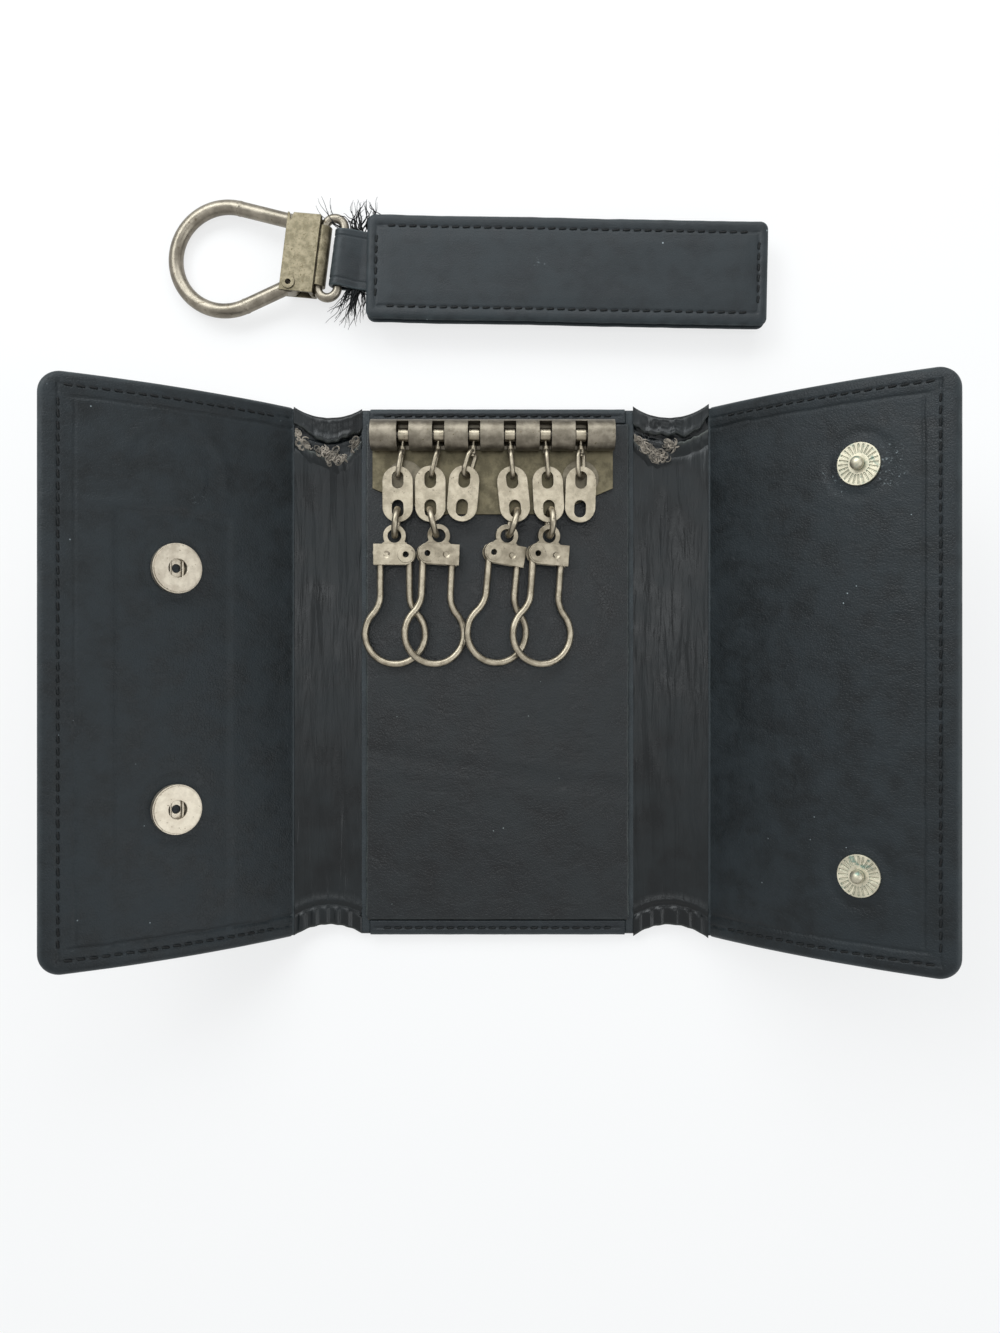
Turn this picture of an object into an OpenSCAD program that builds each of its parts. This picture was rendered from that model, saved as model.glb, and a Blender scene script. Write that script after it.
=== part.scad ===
// Folding leather key case with six hinged key chains and a snap-on strap fob.
// Frame: X to the right, Y up the fold lines, Z out of the open case, millimetres.
// The origin is under the middle of the back panel, which lies on the table.

/* [Leather case] */
// Height of the case along its fold lines
case_h = 105.6; // [98:0.1:125]
// Width of the back panel between its two folds
back_w = 54; // [53.6:0.1:62]
// Width of the left gusset
left_gusset_w = 13.7; // [12.5:0.1:15]
// Width of the right gusset
right_gusset_w = 15.2; // [14:0.1:17]
// Length of each flap from its fold to its free edge
flap_l = 48; // [44:0.1:54]
// Radius of the flaps' outer corners
flap_corner_r = 4; // [2:0.1:6]
// Width of the turned edge around each flap
rim_w = 2.2; // [1.5:0.1:3.5]
// Width of the turned hems of the back panel
hem_w = 3; // [2:0.1:4]
// Thickness of the outer leather
skin_t = 0.9; // [0.7:0.05:1.2]
// Thickness of the stiffening board
board_t = 0.6; // [0.5:0.05:0.9]
// Thickness of the inner leather
lining_t = 0.6; // [0.5:0.05:0.9]
// Thickness of the gusset lining
gusset_lining_t = 0.5; // [0.4:0.05:0.6]

/* [Open pose] */
// Rise of the gussets above the table
gusset_rise = 8; // [4:0.5:12]
// Rise of the left flap's chord
left_flap_rise = 36; // [30:0.5:42]
// Rise of the right flap's chord
right_flap_rise = 39.6; // [34:0.1:44]
// Angle that each flap's leather is bowed through
flap_bow = 20; // [12:1:22]

/* [Snaps] */
// Diameter of a socket's face
socket_d = 9.2; // [8:0.1:10]
// Height of a socket
socket_h = 1.4; // [1.1:0.1:1.6]
// Diameter of a socket's mouth
socket_mouth_d = 3.5; // [3.2:0.1:4]
// Diameter of a stud's flange
stud_d = 7.7; // [7:0.1:8.5]
// Height of a stud above the leather
stud_h = 2.6; // [2.3:0.1:2.8]
// Diameter of a stud's ball
stud_ball_d = 2.5; // [2.2:0.1:2.8]
// Distance from the left fold to the inner sockets
inner_socket_s = 24.5; // [20:0.1:28]
// Distance from the left fold to the outer sockets
outer_socket_s = 30.4; // [29:0.1:32]
// Distance from the right fold to the closing studs
closing_stud_s = 31; // [30:0.1:32]
// Distance between the two closing studs
closing_pitch = 73.6; // [66:0.1:80]
// Distance between the two inner sockets
strap_pitch = 44.2; // [38:0.1:50]

/* [Key bar] */
// Length of the key bar
bar_l = 48; // [47.5:0.1:50]
// Distance between neighbouring key chains
key_pitch = 7; // [6.9:0.05:7.2]
// Width of each gap between the knuckles
gap_w = 2.4; // [2.3:0.05:2.8]
// Thickness of the bar's sheet
sheet_t = 0.6; // [0.5:0.05:0.7]
// Outer radius of the knuckles
knuckle_r = 3.05; // [3:0.05:3.4]
// Depth of the key plate from its bottom edge to the rod
plate_depth = 15.3; // [13:0.1:17]
// Diameter of the hinge rod
rod_d = 1.5; // [1.3:0.05:1.6]

/* [Key chains] */
// Length of a flat link
link_l = 11; // [10.5:0.1:12]
// Width of a flat link
link_w = 6; // [5.6:0.1:6.3]
// Thickness of a flat link
link_t = 0.9; // [0.7:0.05:1]
// Width of a link's slot
slot_w = 2.3; // [2.2:0.05:2.5]
// Wire diameter of the swivel rings
swivel_wire_d = 0.9; // [0.7:0.05:0.95]
// Wire diameter of the jump rings
jump_wire_d = 1.2; // [1:0.05:1.25]
// Diameter of a jump ring along its wire's middle
jump_ring_d = 5.3; // [5.2:0.05:5.5]
// Wire diameter of the key loops
loop_wire_d = 1.35; // [1.1:0.05:1.4]
// Diameter of a key loop along its wire's middle
loop_d = 11.9; // [11:0.1:12.1]
// Width of a hook's body
hook_w = 8.25; // [8:0.05:8.6]
// Height of a hook's body
hook_h = 4.1; // [3.9:0.05:4.5]

/* [Strap fob] */
// Length of the strap
strap_l = 79; // [66:0.5:95]
// Width of the strap
strap_w = 20.5; // [18:0.1:24]
// Thickness of the strap's face and back leather
strap_skin_t = 1; // [0.8:0.05:1.3]
// Thickness of one ply of the strap's neck
neck_ply_t = 0.8; // [0.7:0.05:1]
// Width of the neck that holds the fob's frame
neck_w = 11.6; // [9:0.1:11.7]
// Wire diameter of the fob's frame
frame_wire_d = 1.8; // [1.5:0.05:1.9]
// Wire diameter of the fob's loop
fob_wire_d = 2.9; // [2.4:0.05:3]
// Diameter of the fob's loop along its wire's middle
fob_loop_d = 20.8; // [18:0.1:22]
// Length of the fob's hook plate across the strap's line
fob_plate_l = 15.4; // [15:0.1:16]
// Width of the fob's hook plate
fob_plate_w = 6.3; // [6:0.1:6.8]

/* [Hidden] */

$fn = 48;
// Overrun of every cut past the face that it opens
over = 1;
// Gap at a fold between the end of one panel and the next
fold_gap = 0.1;

// Leather stack
panel_t = skin_t + board_t + lining_t;
gusset_t = skin_t + gusset_lining_t;
half_h = case_h/2;
half_w = back_w/2;
lining_inset = 1;
layer_gap = 0.1;

// Folds: the first ones are at the back panel's edges, the next at the flaps
fold_x = half_w + fold_gap;
left_fold_x = fold_x + left_gusset_w*cos(gusset_rise);
left_fold_z = gusset_t + left_gusset_w*sin(gusset_rise);
right_fold_x = fold_x + right_gusset_w*cos(gusset_rise);
right_fold_z = gusset_t + right_gusset_w*sin(gusset_rise);

// Bowed flaps: the inner face is the outside of the bow
bow_r = flap_l*180/(PI*flap_bow);
bow_chord = 2*bow_r*sin(flap_bow/2);
bow_drop = bow_r*cos(flap_bow/2);

// Gathered gusset ends
gather_r = 12.2;
gather_depth = 2.2;
pleat_r = 0.35;
pleat_l = 4;
pleat_count = 6;

// Snap details
post_r = 1.2;
post_bore_r = 0.82;
post_flange_r = 3;
post_flange_t = 0.3;
spring_r = 0.25;
spring_x = 1.15;
spring_depth = 0.78;
socket_floor_t = 0.35;
socket_eye_r = post_bore_r;
flange_t = 0.5;
flute_count = 24;
flute_r = 0.16;
flute_in_share = 0.5;
flute_out_share = 0.93;
stud_neck_r = 0.85;
post_hole_gap = 0.3;
inner_socket_y = -3;
inner_low_y = inner_socket_y - strap_pitch/2;
inner_high_y = inner_socket_y + strap_pitch/2;
closing_y = 0.5;
closing_ys = [closing_y - closing_pitch/2, closing_y + closing_pitch/2];
inner_ys = [inner_low_y, inner_high_y];

// Key bar
bar_x = -0.96;
bar_inset = 6;
rod_y = half_h - bar_inset;
rod_z = panel_t + knuckle_r;
rod_r = rod_d/2;
bar_low_x = bar_x - bar_l/2;
key_first_x = -18.55;
window_back = 2.4;
window_below = 1.7;
plate_low_y = rod_y - plate_depth;
plate_chamfer_x = 13.4;
plate_chamfer_y = 5.2;
rivet_x = 17.5;
rivet_y = rod_y - 8.2;
rivet_r = 3.65;
rivet_h = 0.2;
rivet_shank_r = 1;
rivet_tail_r = 2;
rivet_tail_t = 0.4;
plug_t = 0.5;

// Key chains
chain_dip = 2.4;
barrel_r = 1.3;
barrel_l = 2;
rod_clear = 0.06;
neck_r = 0.35;
neck_end = 3.85;
head_r = 0.55;
head_t = 0.35;
collar_r = 0.7;
collar_bore_r = neck_r + rod_clear;
collar_from = 2.2;
collar_to = 3.7;
swivel_wire_r = swivel_wire_d/2;
swivel_r = 1.5;
swivel_near = 4.6;
swivel_far = 6.7;
neck_leans = [-6.5, -6.5, -6.5, 3, 3, 0.5];
ring_bends = [-3, -8, -12, 2, 2, 0];
ring_turns = [0, 0, 26, 0, 0, 26];
link_yaws = [0, 0, -5, 6, 3, -2];
link_shift_share = [-0.34, -0.76, -0.6, -0.34, -0.19, 0.12];
link_dip = 1.7;
link_rim = 0.95;
link_bridge = 2.2;
slot_l = link_l/2 - link_rim - link_bridge/2;
link_reach = link_l - link_rim;
jump_r = jump_ring_d/2;
jump_wire_r = jump_wire_d/2;
jump_below = 0.65;
jump_above = 1;
jump_yaws = [-6, 14, 0, -17, -1.5];
jump_rolls = [0, 0, 0, 10, 10];
jump_shift_share = [-0.1, 0.24, 0, -0.4, -0.03];
eye_gap_y = 1.4;

// Hooks
hook_yaws = [0, -2.4, 0, -9, -4];
hook_rolls = [0, 14, 0, 14, 15];
hook_dips = [2.6, 0, 0, 0, 0];
hook_sides = [1, -1, 1, -1, -1];
loop_yaws = [0, 0, 0, -4, 0];
hook_shift_share = [-0.04, 0.1, 0, 0, 0];
eye_hole_r = 1.35;
eye_rim = 0.9;
tab_t = 0.8;
tab_base_w = 5.8;
body_top = 1.6;
body_t = 2.3;
body_sheet = 0.4;
body_fold = 0.6;
pivot_x = 2.3;
pivot_y = 3.7;
eyelet_r = 0.95;
eyelet_bore_r = 0.6;
eyelet_head_r = 1.6;
eyelet_head_t = 0.2;
dimple_x = 1.5;
dimple_r = 0.8;
dimple_depth = 0.2;
loop_wire_r = loop_wire_d/2;
loop_r = loop_d/2;
loop_y = 19.4;
leg_x = 2.9;
waist_r = 5.55;
loop_eye_r = 1.45;
loop_eye_t = 1.2;
latch_top = 2.75;
nub_r = 0.5;
nub_reach = 4.3;
bead_gap = 0.05;
bead_share = 0.04;

// Strap fob
strap_x = 13.7;
strap_above = 26.4;
strap_y = half_h + strap_above;
strap_turn = -1.1;
strap_corner_r = 1.6;
core_inset = 0.7;
core_t = 2*neck_ply_t;
strap_t = core_t + 2*strap_skin_t;
fob_base_z = stud_h;
strap_stud_x = -8;
neck_reach = 5.2;
neck_aside = 2.6;
bar_at_x = strap_x - strap_l/2 - neck_reach;
bar_at_y = strap_y + neck_aside;
bar_at_z = fob_base_z + strap_t/2;
frame_wire_r = frame_wire_d/2;
neck_gap = 0.1;
neck_bore_r = frame_wire_r + neck_gap;
neck_r_out = neck_bore_r + neck_ply_t;
neck_taper = 4;
neck_l = 8.4;
frame_r = 2;
frame_straight = 5.9;
knuckle2_r = 1.5;
fob_turn = 173;
fob_wire_r = fob_wire_d/2;
fob_loop_r = fob_loop_d/2;
fob_sheet = 0.4;
fob_gap = 0.1;
fob_half_t = fob_wire_r + fob_gap + fob_sheet;
fob_plate_x = 2*frame_r + 0.6*knuckle2_r;
fob_plate_end = fob_plate_x + fob_plate_w;
fob_pivot_x = fob_plate_end - 1.75;
fob_pivot_y = fob_plate_l/2 - 1.6;
fob_eyelet_r = 0.9;
fob_eyelet_bore = 0.55;
fob_head_r = 1.3;
fob_head_t = 0.25;
fob_eye_r = 1.8;
fob_eye_t = 2.5;
fob_loop_x = 23.2;
fob_loop_y = 2.05;
fob_leg_in = 3.4;
fob_leg_y = -6.1;
fob_notch = 1.5;
fob_dip = 5;

leather = "#2b3133";
inner_leather = "#30363a";
gusset_leather = "#20262a";
board_grey = "#4a4a46";
nickel = "#a59b85";
antique = "#8d8470";
golden = "#b5a77d";

// A panel outline with two rounded corners at its far end
module flap_outline(from, to, half, r) {
    translate([from, -half]) square([to - from - r, 2*half]);
    translate([from, r - half]) square([to - from, 2*(half - r)]);
    for (side = [-1, 1]) translate([to - r, side*(half - r)]) circle(r, $fn = 64);
}

// A rounded rectangle about the origin
module round_rect(l, w, r) {
    square([l - 2*r, w], center = true);
    square([l, w - 2*r], center = true);
    for (sx = [-1, 1]) for (sy = [-1, 1])
        translate([sx*(l/2 - r), sy*(w/2 - r)]) circle(r);
}

// A bowed layer of a flap between two depths below its inner face
module bowed(depth_from, depth_to) {
    gap = fold_gap*180/(PI*bow_r);
    translate([bow_chord/2, 0, -bow_drop]) rotate([90, 0, 0])
        rotate([0, 0, 90 - flap_bow/2])
            rotate_extrude(angle = flap_bow - gap, $fn = 96)
                translate([bow_r - depth_to, -half_h])
                    square([depth_to - depth_from, case_h]);
}

module flap_prism(inset, corner) {
    translate([0, 0, -bow_r]) linear_extrude(2*bow_r)
        flap_outline(-over, bow_chord - inset, half_h - inset, corner);
}

// Places children on a flap's inner face, a distance along it from the fold
module on_flap(s, y) {
    turn = flap_bow/2 - s*180/(PI*bow_r);
    translate([bow_chord/2, y, -bow_drop]) rotate([0, -turn, 0])
        translate([0, 0, bow_r]) children();
}

module at_left_flap() {
    translate([-left_fold_x, 0, left_fold_z]) mirror([1, 0, 0])
        rotate([0, -left_flap_rise, 0]) children();
}

module at_right_flap() {
    translate([right_fold_x, 0, right_fold_z])
        rotate([0, -right_flap_rise, 0]) children();
}

module at_left_gusset() {
    translate([-fold_x, 0, gusset_t]) mirror([1, 0, 0])
        rotate([0, -gusset_rise, 0]) children();
}

module at_right_gusset() {
    translate([fold_x, 0, gusset_t]) rotate([0, -gusset_rise, 0]) children();
}

module flap_shell() {
    intersection() {
        bowed(panel_t - skin_t, panel_t);
        flap_prism(0, flap_corner_r);
    }
    difference() {
        intersection() {
            bowed(0, panel_t - skin_t);
            flap_prism(0, flap_corner_r);
        }
        flap_prism(rim_w, flap_corner_r/2);
    }
}

module flap_layer(depth_from, depth_to) {
    intersection() {
        bowed(depth_from, depth_to);
        flap_prism(rim_w + layer_gap, flap_corner_r/2);
    }
}

// A gusset layer with both ends drawn in by the gathers
module gusset_layer(w, z_from, z_to) {
    difference() {
        translate([fold_gap, -half_h, z_from])
            cube([w - 2*fold_gap, case_h, z_to - z_from]);
        for (side = [-1, 1])
            translate([w/2, side*(half_h + gather_r - gather_depth), -gusset_t - over])
                cylinder(r = gather_r, h = gusset_t + 2*over, $fn = 96);
    }
}

module pleats(w) {
    step = (w - 4*pleat_r)/pleat_count;
    for (side = [-1, 1]) for (i = [0:pleat_count - 1]) {
        x = 2*pleat_r + step*(i + 0.5);
        dip = sqrt(max(0, pow(gather_r, 2) - pow(x - w/2, 2))) - gather_r + gather_depth;
        y = half_h - max(dip, 0) - pleat_l - pleat_r;
        intersection() {
            translate([x, side*(y + pleat_l/2), -gusset_t/2]) rotate([90, 0, 0])
                cylinder(r = gusset_t/2 + pleat_r, h = pleat_l, center = true);
            translate([x - pleat_r, -half_h, -gusset_lining_t])
                cube([2*pleat_r, case_h, gusset_lining_t + 2*pleat_r]);
        }
    }
}

module shell_center() {
    color(leather) {
        translate([-half_w, -half_h, 0]) cube([back_w, case_h, skin_t]);
        for (side = [-1, 1])
            translate([-half_w, side*(half_h - hem_w/2) - hem_w/2, 0])
                cube([back_w, hem_w, panel_t]);
    }
}

module center_board() {
    color(board_grey) difference() {
        translate([-half_w + lining_inset, -half_h + hem_w + layer_gap, skin_t])
            cube([back_w - 2*lining_inset, case_h - 2*hem_w - 2*layer_gap, board_t]);
        for (side = [-1, 1]) translate([bar_x + side*rivet_x, rivet_y, 0])
            cylinder(r = rivet_tail_r + post_hole_gap, h = panel_t);
    }
}

module center_lining() {
    color(inner_leather) difference() {
        translate([-half_w + lining_inset, -half_h + hem_w + layer_gap, skin_t + board_t])
            cube([back_w - 2*lining_inset, case_h - 2*hem_w - 2*layer_gap, lining_t]);
        for (side = [-1, 1]) translate([bar_x + side*rivet_x, rivet_y, 0])
            cylinder(r = rivet_shank_r, h = panel_t + over);
    }
}

module shell_left_gusset() {
    color(gusset_leather) at_left_gusset()
        gusset_layer(left_gusset_w, -gusset_t, -gusset_lining_t);
}

module shell_right_gusset() {
    color(gusset_leather) at_right_gusset()
        gusset_layer(right_gusset_w, -gusset_t, -gusset_lining_t);
}

module left_gusset_lining() {
    color(gusset_leather) at_left_gusset() {
        gusset_layer(left_gusset_w, -gusset_lining_t, 0);
        pleats(left_gusset_w);
    }
}

module right_gusset_lining() {
    color(gusset_leather) at_right_gusset() {
        gusset_layer(right_gusset_w, -gusset_lining_t, 0);
        pleats(right_gusset_w);
    }
}

module shell_left_flap() {
    color(leather) at_left_flap() difference() {
        flap_shell();
        for (y = closing_ys) on_flap(outer_socket_s, y)
            translate([0, 0, -panel_t - over])
                cylinder(r = post_r, h = skin_t + 2*over);
    }
}

module shell_right_flap() {
    color(leather) at_right_flap() flap_shell();
}

module left_flap_board() {
    color(board_grey) at_left_flap() difference() {
        flap_layer(lining_t, lining_t + board_t);
        for (y = closing_ys) on_flap(outer_socket_s, y) post_clearance();
        for (y = inner_ys) on_flap(inner_socket_s, y) post_clearance();
    }
}

module right_flap_board() {
    color(board_grey) at_right_flap() difference() {
        flap_layer(lining_t, lining_t + board_t);
        for (y = closing_ys) on_flap(closing_stud_s, y) post_clearance();
    }
}

module post_clearance() {
    translate([0, 0, -panel_t])
        cylinder(r = post_flange_r + post_hole_gap, h = panel_t + over);
}

module left_pocket_panel() {
    color(inner_leather) at_left_flap() difference() {
        flap_layer(0, lining_t);
        for (y = inner_ys) on_flap(inner_socket_s, y) post_hole();
    }
}

module right_pocket_panel() {
    color(inner_leather) at_right_flap() difference() {
        flap_layer(0, lining_t);
        for (y = closing_ys) on_flap(closing_stud_s, y) post_hole();
    }
}

module post_hole() {
    translate([0, 0, -lining_t - over]) cylinder(r = post_r, h = lining_t + 2*over);
}

// Snap socket: a dished disc with a mouth and two spring wires across it
module socket() {
    difference() {
        union() {
            cylinder(r = socket_d/2, h = socket_h - spring_r);
            cylinder(r = socket_d/2 - spring_r, h = socket_h);
        }
        translate([0, 0, socket_floor_t]) cylinder(r = socket_mouth_d/2, h = socket_h);
        translate([0, 0, -over]) cylinder(r = socket_eye_r, h = socket_h);
    }
    for (side = [-1, 1])
        translate([side*spring_x, 0, socket_h - spring_depth]) rotate([90, 0, 0])
            cylinder(r = spring_r, h = socket_mouth_d - spring_r, center = true, $fn = 24);
}

// Post below a face: a tube through the leather with a flange behind it
module post(through) {
    difference() {
        union() {
            translate([0, 0, -through]) cylinder(r = post_r, h = through);
            translate([0, 0, -through - post_flange_t])
                cylinder(r = post_flange_r, h = post_flange_t);
        }
        translate([0, 0, -through - post_flange_t - over])
            cylinder(r = post_bore_r, h = through + post_flange_t + 2*over);
    }
}

// Snap stud: a fluted flange, a neck and a ball
module stud() {
    difference() {
        cylinder(r = stud_d/2, h = flange_t);
        for (i = [0:flute_count - 1])
            rotate([0, 0, i*360/flute_count])
                translate([flute_in_share*stud_d/2, 0, flange_t]) rotate([0, 90, 0])
                    cylinder(r = flute_r, h = (flute_out_share - flute_in_share)*stud_d/2,
                             $fn = 16);
    }
    cylinder(r = stud_neck_r, h = stud_h - stud_ball_d/2);
    translate([0, 0, stud_h - stud_ball_d/2]) sphere(d = stud_ball_d);
}

// Gaps that let a flat disc rest on the hollow outer face, and under a bowed panel
outer_seat = pow(socket_d/2, 2)/(2*(bow_r - panel_t));
post_seat = pow(post_flange_r, 2)/(2*(bow_r - lining_t));

module at_outer_face(s, y) {
    on_flap(s, y) translate([0, 0, -panel_t - outer_seat]) mirror([0, 0, 1]) children();
}

module inner_sockets() {
    color(nickel) at_left_flap()
        for (y = inner_ys) on_flap(inner_socket_s, y) socket();
}

module outer_sockets() {
    color(nickel) at_left_flap()
        for (y = closing_ys) at_outer_face(outer_socket_s, y) socket();
}

module socket_posts() {
    color(antique) at_left_flap() {
        for (y = inner_ys) on_flap(inner_socket_s, y) post(lining_t + post_seat);
        for (y = closing_ys) at_outer_face(outer_socket_s, y) post(skin_t + outer_seat);
    }
}

module closing_studs() {
    color(nickel) at_right_flap()
        for (y = closing_ys) on_flap(closing_stud_s, y) stud();
}

module closing_stud_posts() {
    color(antique) at_right_flap()
        for (y = closing_ys) on_flap(closing_stud_s, y) post(lining_t + post_seat);
}

module key_plate() {
    low = [bar_x - plate_chamfer_x + 2.5*sheet_t, bar_x + plate_chamfer_x - 2.5*sheet_t];
    color(golden) difference() {
        union() {
            translate([0, 0, panel_t]) linear_extrude(sheet_t)
                polygon([[bar_low_x, rod_y], [bar_low_x, plate_low_y + plate_chamfer_y],
                         [low[0], plate_low_y], [low[1], plate_low_y],
                         [bar_low_x + bar_l, plate_low_y + plate_chamfer_y],
                         [bar_low_x + bar_l, rod_y]]);
            translate([bar_low_x, rod_y, rod_z]) rotate([0, 90, 0])
                cylinder(r = knuckle_r, h = bar_l);
        }
        translate([bar_low_x - over, rod_y, rod_z]) rotate([0, 90, 0])
            cylinder(r = knuckle_r - sheet_t, h = bar_l + 2*over);
        for (k = [0:5])
            translate([key_first_x + k*key_pitch - gap_w/2, rod_y - knuckle_r - over,
                       rod_z - window_below])
                cube([gap_w, knuckle_r + over + window_back, 2*knuckle_r]);
        for (side = [-1, 1]) translate([bar_x + side*rivet_x, rivet_y, 0])
            cylinder(r = rivet_shank_r, h = panel_t + 2*sheet_t);
    }
}

module hinge_rod() {
    color(antique) translate([bar_low_x + plug_t, rod_y, rod_z]) rotate([0, 90, 0])
        cylinder(r = rod_r, h = bar_l - 2*plug_t);
}

module rod_end_plugs() {
    color(antique) for (x = [bar_low_x, bar_low_x + bar_l - plug_t])
        translate([x, rod_y, rod_z]) rotate([0, 90, 0])
            cylinder(r = knuckle_r - sheet_t, h = plug_t);
}

module plate_rivets() {
    color(golden) for (side = [-1, 1]) translate([bar_x + side*rivet_x, rivet_y, 0]) {
        translate([0, 0, skin_t + layer_gap])
            cylinder(r = rivet_shank_r, h = panel_t + sheet_t - skin_t);
        translate([0, 0, panel_t + sheet_t]) cylinder(r = rivet_r, h = rivet_h);
        translate([0, 0, skin_t + layer_gap])
            cylinder(r = rivet_tail_r, h = rivet_tail_t);
    }
}

// Places of a chain's pieces, counted from 0
function key_x(k) = key_first_x + k*key_pitch;
function ring_lean(k) = neck_leans[k] + ring_bends[k];
function far_run(k) = collar_to*cos(neck_leans[k])
    + (swivel_far - collar_to)*cos(ring_lean(k));
function link_top(k) = [
    key_x(k) + collar_to*sin(neck_leans[k]) + (swivel_far - collar_to)*sin(ring_lean(k))
        + link_shift_share[k]*(slot_w/2 - swivel_wire_r),
    rod_y - far_run(k)*cos(chain_dip),
    rod_z - far_run(k)*sin(chain_dip)];
function link_low(k) = link_top(k) + link_reach*[
    sin(link_yaws[k])*cos(link_dip), -cos(link_yaws[k])*cos(link_dip), -sin(link_dip)];
function jump_at(k) = link_low(k) + [
    jump_shift_share[k]*slot_w + tan(jump_rolls[k])*jump_above, -jump_below, jump_above];
function eye_at(k) = link_low(k) + [
    jump_shift_share[k]*slot_w + hook_shift_share[k]*slot_w
        + (eye_gap_y + eye_run)*tan(jump_yaws[k]), -eye_gap_y - eye_run, 0];
eye_run = eye_hole_r + eye_rim/2;

// Frame whose Z axis runs down a chain's neck from the rod
module at_neck(k) {
    translate([key_x(k), rod_y, rod_z]) rotate([chain_dip, 0, 0])
        rotate([0, 0, neck_leans[k]]) rotate([90, 0, 0]) children();
}

module barrel(k) {
    color(antique) difference() {
        union() {
            translate([key_x(k), rod_y, rod_z]) rotate([0, 90, 0])
                cylinder(r = barrel_r, h = barrel_l, center = true);
            at_neck(k) {
                cylinder(r = neck_r, h = neck_end + head_t/2);
                translate([0, 0, neck_end]) cylinder(r = head_r, h = head_t);
            }
        }
        translate([key_x(k), rod_y, rod_z]) rotate([0, 90, 0])
            cylinder(r = rod_r + rod_clear, h = barrel_l + 2*over, center = true);
    }
}

// Oval ring whose collar turns on the barrel's neck
module swivel_ring(k) {
    color(nickel) at_neck(k) rotate([0, 0, ring_turns[k]]) difference() {
        union() {
            translate([0, 0, collar_from]) cylinder(r = collar_r, h = collar_to - collar_from);
            translate([0, 0, collar_to]) rotate([0, ring_bends[k], 0])
                translate([0, 0, -collar_to]) rotate([0, -90, 0]) oval_ring();
        }
        translate([0, 0, -over]) cylinder(r = collar_bore_r, h = neck_end + over);
        translate([0, 0, neck_end - rod_clear])
            cylinder(r = head_r + rod_clear, h = head_t + 2*rod_clear);
    }
}

module oval_ring() {
    for (end = [[swivel_near, 90], [swivel_far, -90]])
        translate([end[0], 0, 0]) rotate([0, 0, end[1]])
            rotate_extrude(angle = 180) translate([swivel_r, 0])
                circle(swivel_wire_r, $fn = 24);
    for (side = [-1, 1])
        translate([swivel_near, side*swivel_r, 0]) rotate([0, 90, 0])
            cylinder(r = swivel_wire_r, h = swivel_far - swivel_near, $fn = 24);
}

module stadium(l, w) {
    square([w, l - w], center = true);
    for (side = [-1, 1]) translate([0, side*(l - w)/2]) circle(w/2);
}

module flat_link(k) {
    color(nickel) translate(link_top(k)) rotate([0, 0, link_yaws[k]])
        rotate([link_dip, 0, 0]) translate([0, -link_reach/2, -link_t/2])
            linear_extrude(link_t) difference() {
                stadium(link_l, link_w);
                for (side = [-1, 1]) translate([0, side*(link_bridge + slot_l)/2])
                    stadium(slot_l, slot_w);
            }
}

module jump_ring(k) {
    color(nickel) translate(jump_at(k)) rotate([0, 0, jump_yaws[k]])
        rotate([0, jump_rolls[k], 0]) rotate([0, 90, 0])
            rotate_extrude() translate([jump_r, 0]) circle(jump_wire_r, $fn = 24);
}

module at_hook(k) {
    translate(eye_at(k)) rotate([0, 0, hook_yaws[k]]) rotate([hook_dips[k], 0, 0])
        rotate([0, hook_rolls[k], 0]) scale([hook_sides[k], 1, 1]) children();
}

module hook_body(k) {
    color(nickel) at_hook(k) {
        difference() {
            union() {
                translate([0, 0, -tab_t/2]) linear_extrude(tab_t) {
                    circle(eye_hole_r + eye_rim);
                    polygon([[-tab_base_w/2, -body_top - body_fold/2],
                             [tab_base_w/2, -body_top - body_fold/2],
                             [eye_hole_r + eye_rim/2, -eye_rim],
                             [-eye_hole_r - eye_rim/2, -eye_rim]]);
                }
                translate([0, 0, -body_t/2]) linear_extrude(body_t) body_outline();
            }
            translate([-hook_w, -body_top - body_fold - hook_h, body_sheet - body_t/2])
                cube([2*hook_w, hook_h, body_t - 2*body_sheet]);
            translate([0, 0, -body_t]) cylinder(r = eye_hole_r, h = 2*body_t);
            translate([pivot_x, -pivot_y, -body_t]) cylinder(r = eyelet_r, h = 2*body_t);
            translate([-dimple_x, -pivot_y, body_t/2 - dimple_depth])
                cylinder(r1 = dimple_r/2, r2 = dimple_r, h = dimple_depth + layer_gap/2);
        }
        translate([pivot_x, -pivot_y, 0]) difference() {
            union() {
                cylinder(r = eyelet_r, h = body_t + 2*eyelet_head_t, center = true);
                for (side = [-1, 1]) translate([0, 0, side*(body_t + eyelet_head_t)/2])
                    cylinder(r = eyelet_head_r, h = eyelet_head_t, center = true);
            }
            cylinder(r = eyelet_bore_r, h = 2*body_t, center = true);
        }
    }
}

module body_outline() {
    end_r = hook_h/2;
    translate([-hook_w/2, -body_top - hook_h]) square([hook_w - end_r, hook_h]);
    translate([hook_w/2 - end_r, -body_top - end_r]) circle(end_r);
}

// Pear-shaped loop: a big arc, two reverse arcs and two straight legs
loop_meet = acos((leg_x + waist_r)/(loop_r + waist_r));
waist_y = loop_y - (loop_r + waist_r)*sin(loop_meet);

module wire_arc(r, angle, wire_r) {
    trim = bead_gap*180/(PI*r);
    rotate([0, 0, trim]) rotate_extrude(angle = angle - 2*trim)
        translate([r, 0]) circle(wire_r, $fn = 24);
}

// Brazed bead that joins two lengths of wire end to end
module bead(x, y, wire_r) {
    translate([x, y, 0]) rotate([90, 0, 0]) sphere(r = wire_r*(1 + bead_share), $fn = 32);
}

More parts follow.
